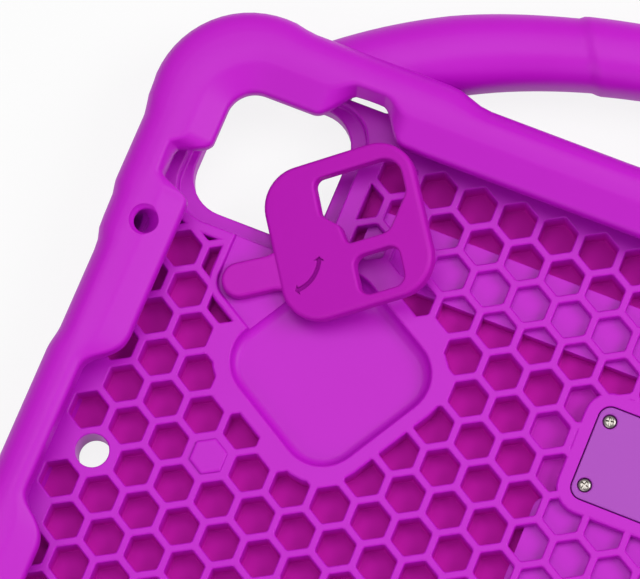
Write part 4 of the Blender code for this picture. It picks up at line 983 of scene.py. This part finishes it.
FLOOR_DROP = 0.2 * MM
FLOOR_HALF = 3.0
floor_signs = ((-1, -1), (1, -1), (1, 1), (-1, 1))
floor_corners = [(FLOOR_HALF * x, FLOOR_HALF * y, -FLOOR_DROP) for x, y in floor_signs]
floor_mesh = bpy.data.meshes.new("floor")
floor_mesh.from_pydata(floor_corners, [], [(0, 1, 2, 3)])
floor = bpy.data.objects.new("floor", floor_mesh)
bpy.context.scene.collection.objects.link(floor)
paper = bpy.data.materials.new("pale_floor")
paper.use_nodes = True
paper_nodes, paper_links = paper.node_tree.nodes, paper.node_tree.links
matt = paper_nodes["Principled BSDF"]
matt.inputs["Base Color"].default_value = (0.86, 0.86, 0.86, 1.0)
matt.inputs["Roughness"].default_value = 0.9
glow = paper_nodes.new("ShaderNodeEmission")
glow.inputs["Strength"].default_value = 1.0
blend = paper_nodes.new("ShaderNodeMixShader")
seen = paper_nodes.new("ShaderNodeLightPath")
most = paper_nodes.new("ShaderNodeMath")
most.operation = "MAXIMUM"
amount = paper_nodes.new("ShaderNodeMath")
amount.operation = "MULTIPLY"
amount.inputs[1].default_value = 0.86
paper_links.new(seen.outputs["Is Camera Ray"], most.inputs[0])
paper_links.new(seen.outputs["Is Glossy Ray"], most.inputs[1])
paper_links.new(most.outputs["Value"], amount.inputs[0])
paper_links.new(amount.outputs["Value"], blend.inputs["Fac"])
paper_links.new(matt.outputs["BSDF"], blend.inputs[1])
paper_links.new(glow.outputs["Emission"], blend.inputs[2])
paper_links.new(blend.outputs["Shader"], paper_nodes["Material Output"].inputs["Surface"])
floor_mesh.materials.append(paper)

world = bpy.data.worlds.new("studio")
bpy.context.scene.world = world
world.use_nodes = True
air = world.node_tree.nodes["Background"]
air.inputs["Color"].default_value = (1.0, 1.0, 1.0, 1.0)
air.inputs["Strength"].default_value = 0.38


def lamp(name, place, size, power):
    """Square area lamp at a place, facing the middle of the case."""
    data = bpy.data.lights.new(name, "AREA")
    data.size = size
    data.energy = power
    made = bpy.data.objects.new(name, data)
    bpy.context.scene.collection.objects.link(made)
    made.location = place
    made.rotation_euler = (-Vector(place)).to_track_quat("-Z", "Y").to_euler()
    return made


lamp("key", (0.80, 0.50, 0.95), 0.7, 8.2)
lamp("overhead", (-0.20, 0.30, 1.30), 0.7, 4.6)
lamp("front_fill", (-0.20, -0.85, 0.80), 0.9, 2.8)

# Camera: above the case and to its lower right, turned a little, with a long lens.

CAMERA_PLACE = Vector((0.0349, -0.1461, 0.8560))
CAMERA_BACK = Vector((0.14669026, -0.21343979, 0.96588065))
CAMERA_UP = Vector((-0.35614304, 0.89956495, 0.25287355))
LENS_PIXELS = 3500.0
PHOTO_WIDTH = 640.0
camera_data = bpy.data.cameras.new("camera")
camera_data.sensor_width = 36.0
camera_data.lens = camera_data.sensor_width * LENS_PIXELS / PHOTO_WIDTH
camera = bpy.data.objects.new("camera", camera_data)
bpy.context.scene.collection.objects.link(camera)
camera_right = CAMERA_UP.cross(CAMERA_BACK)
turn = Matrix((camera_right, CAMERA_UP, CAMERA_BACK)).transposed().to_4x4()
camera.matrix_world = Matrix.Translation(CAMERA_PLACE) @ turn
bpy.context.scene.camera = camera
bpy.context.scene.view_settings.view_transform = "Standard"
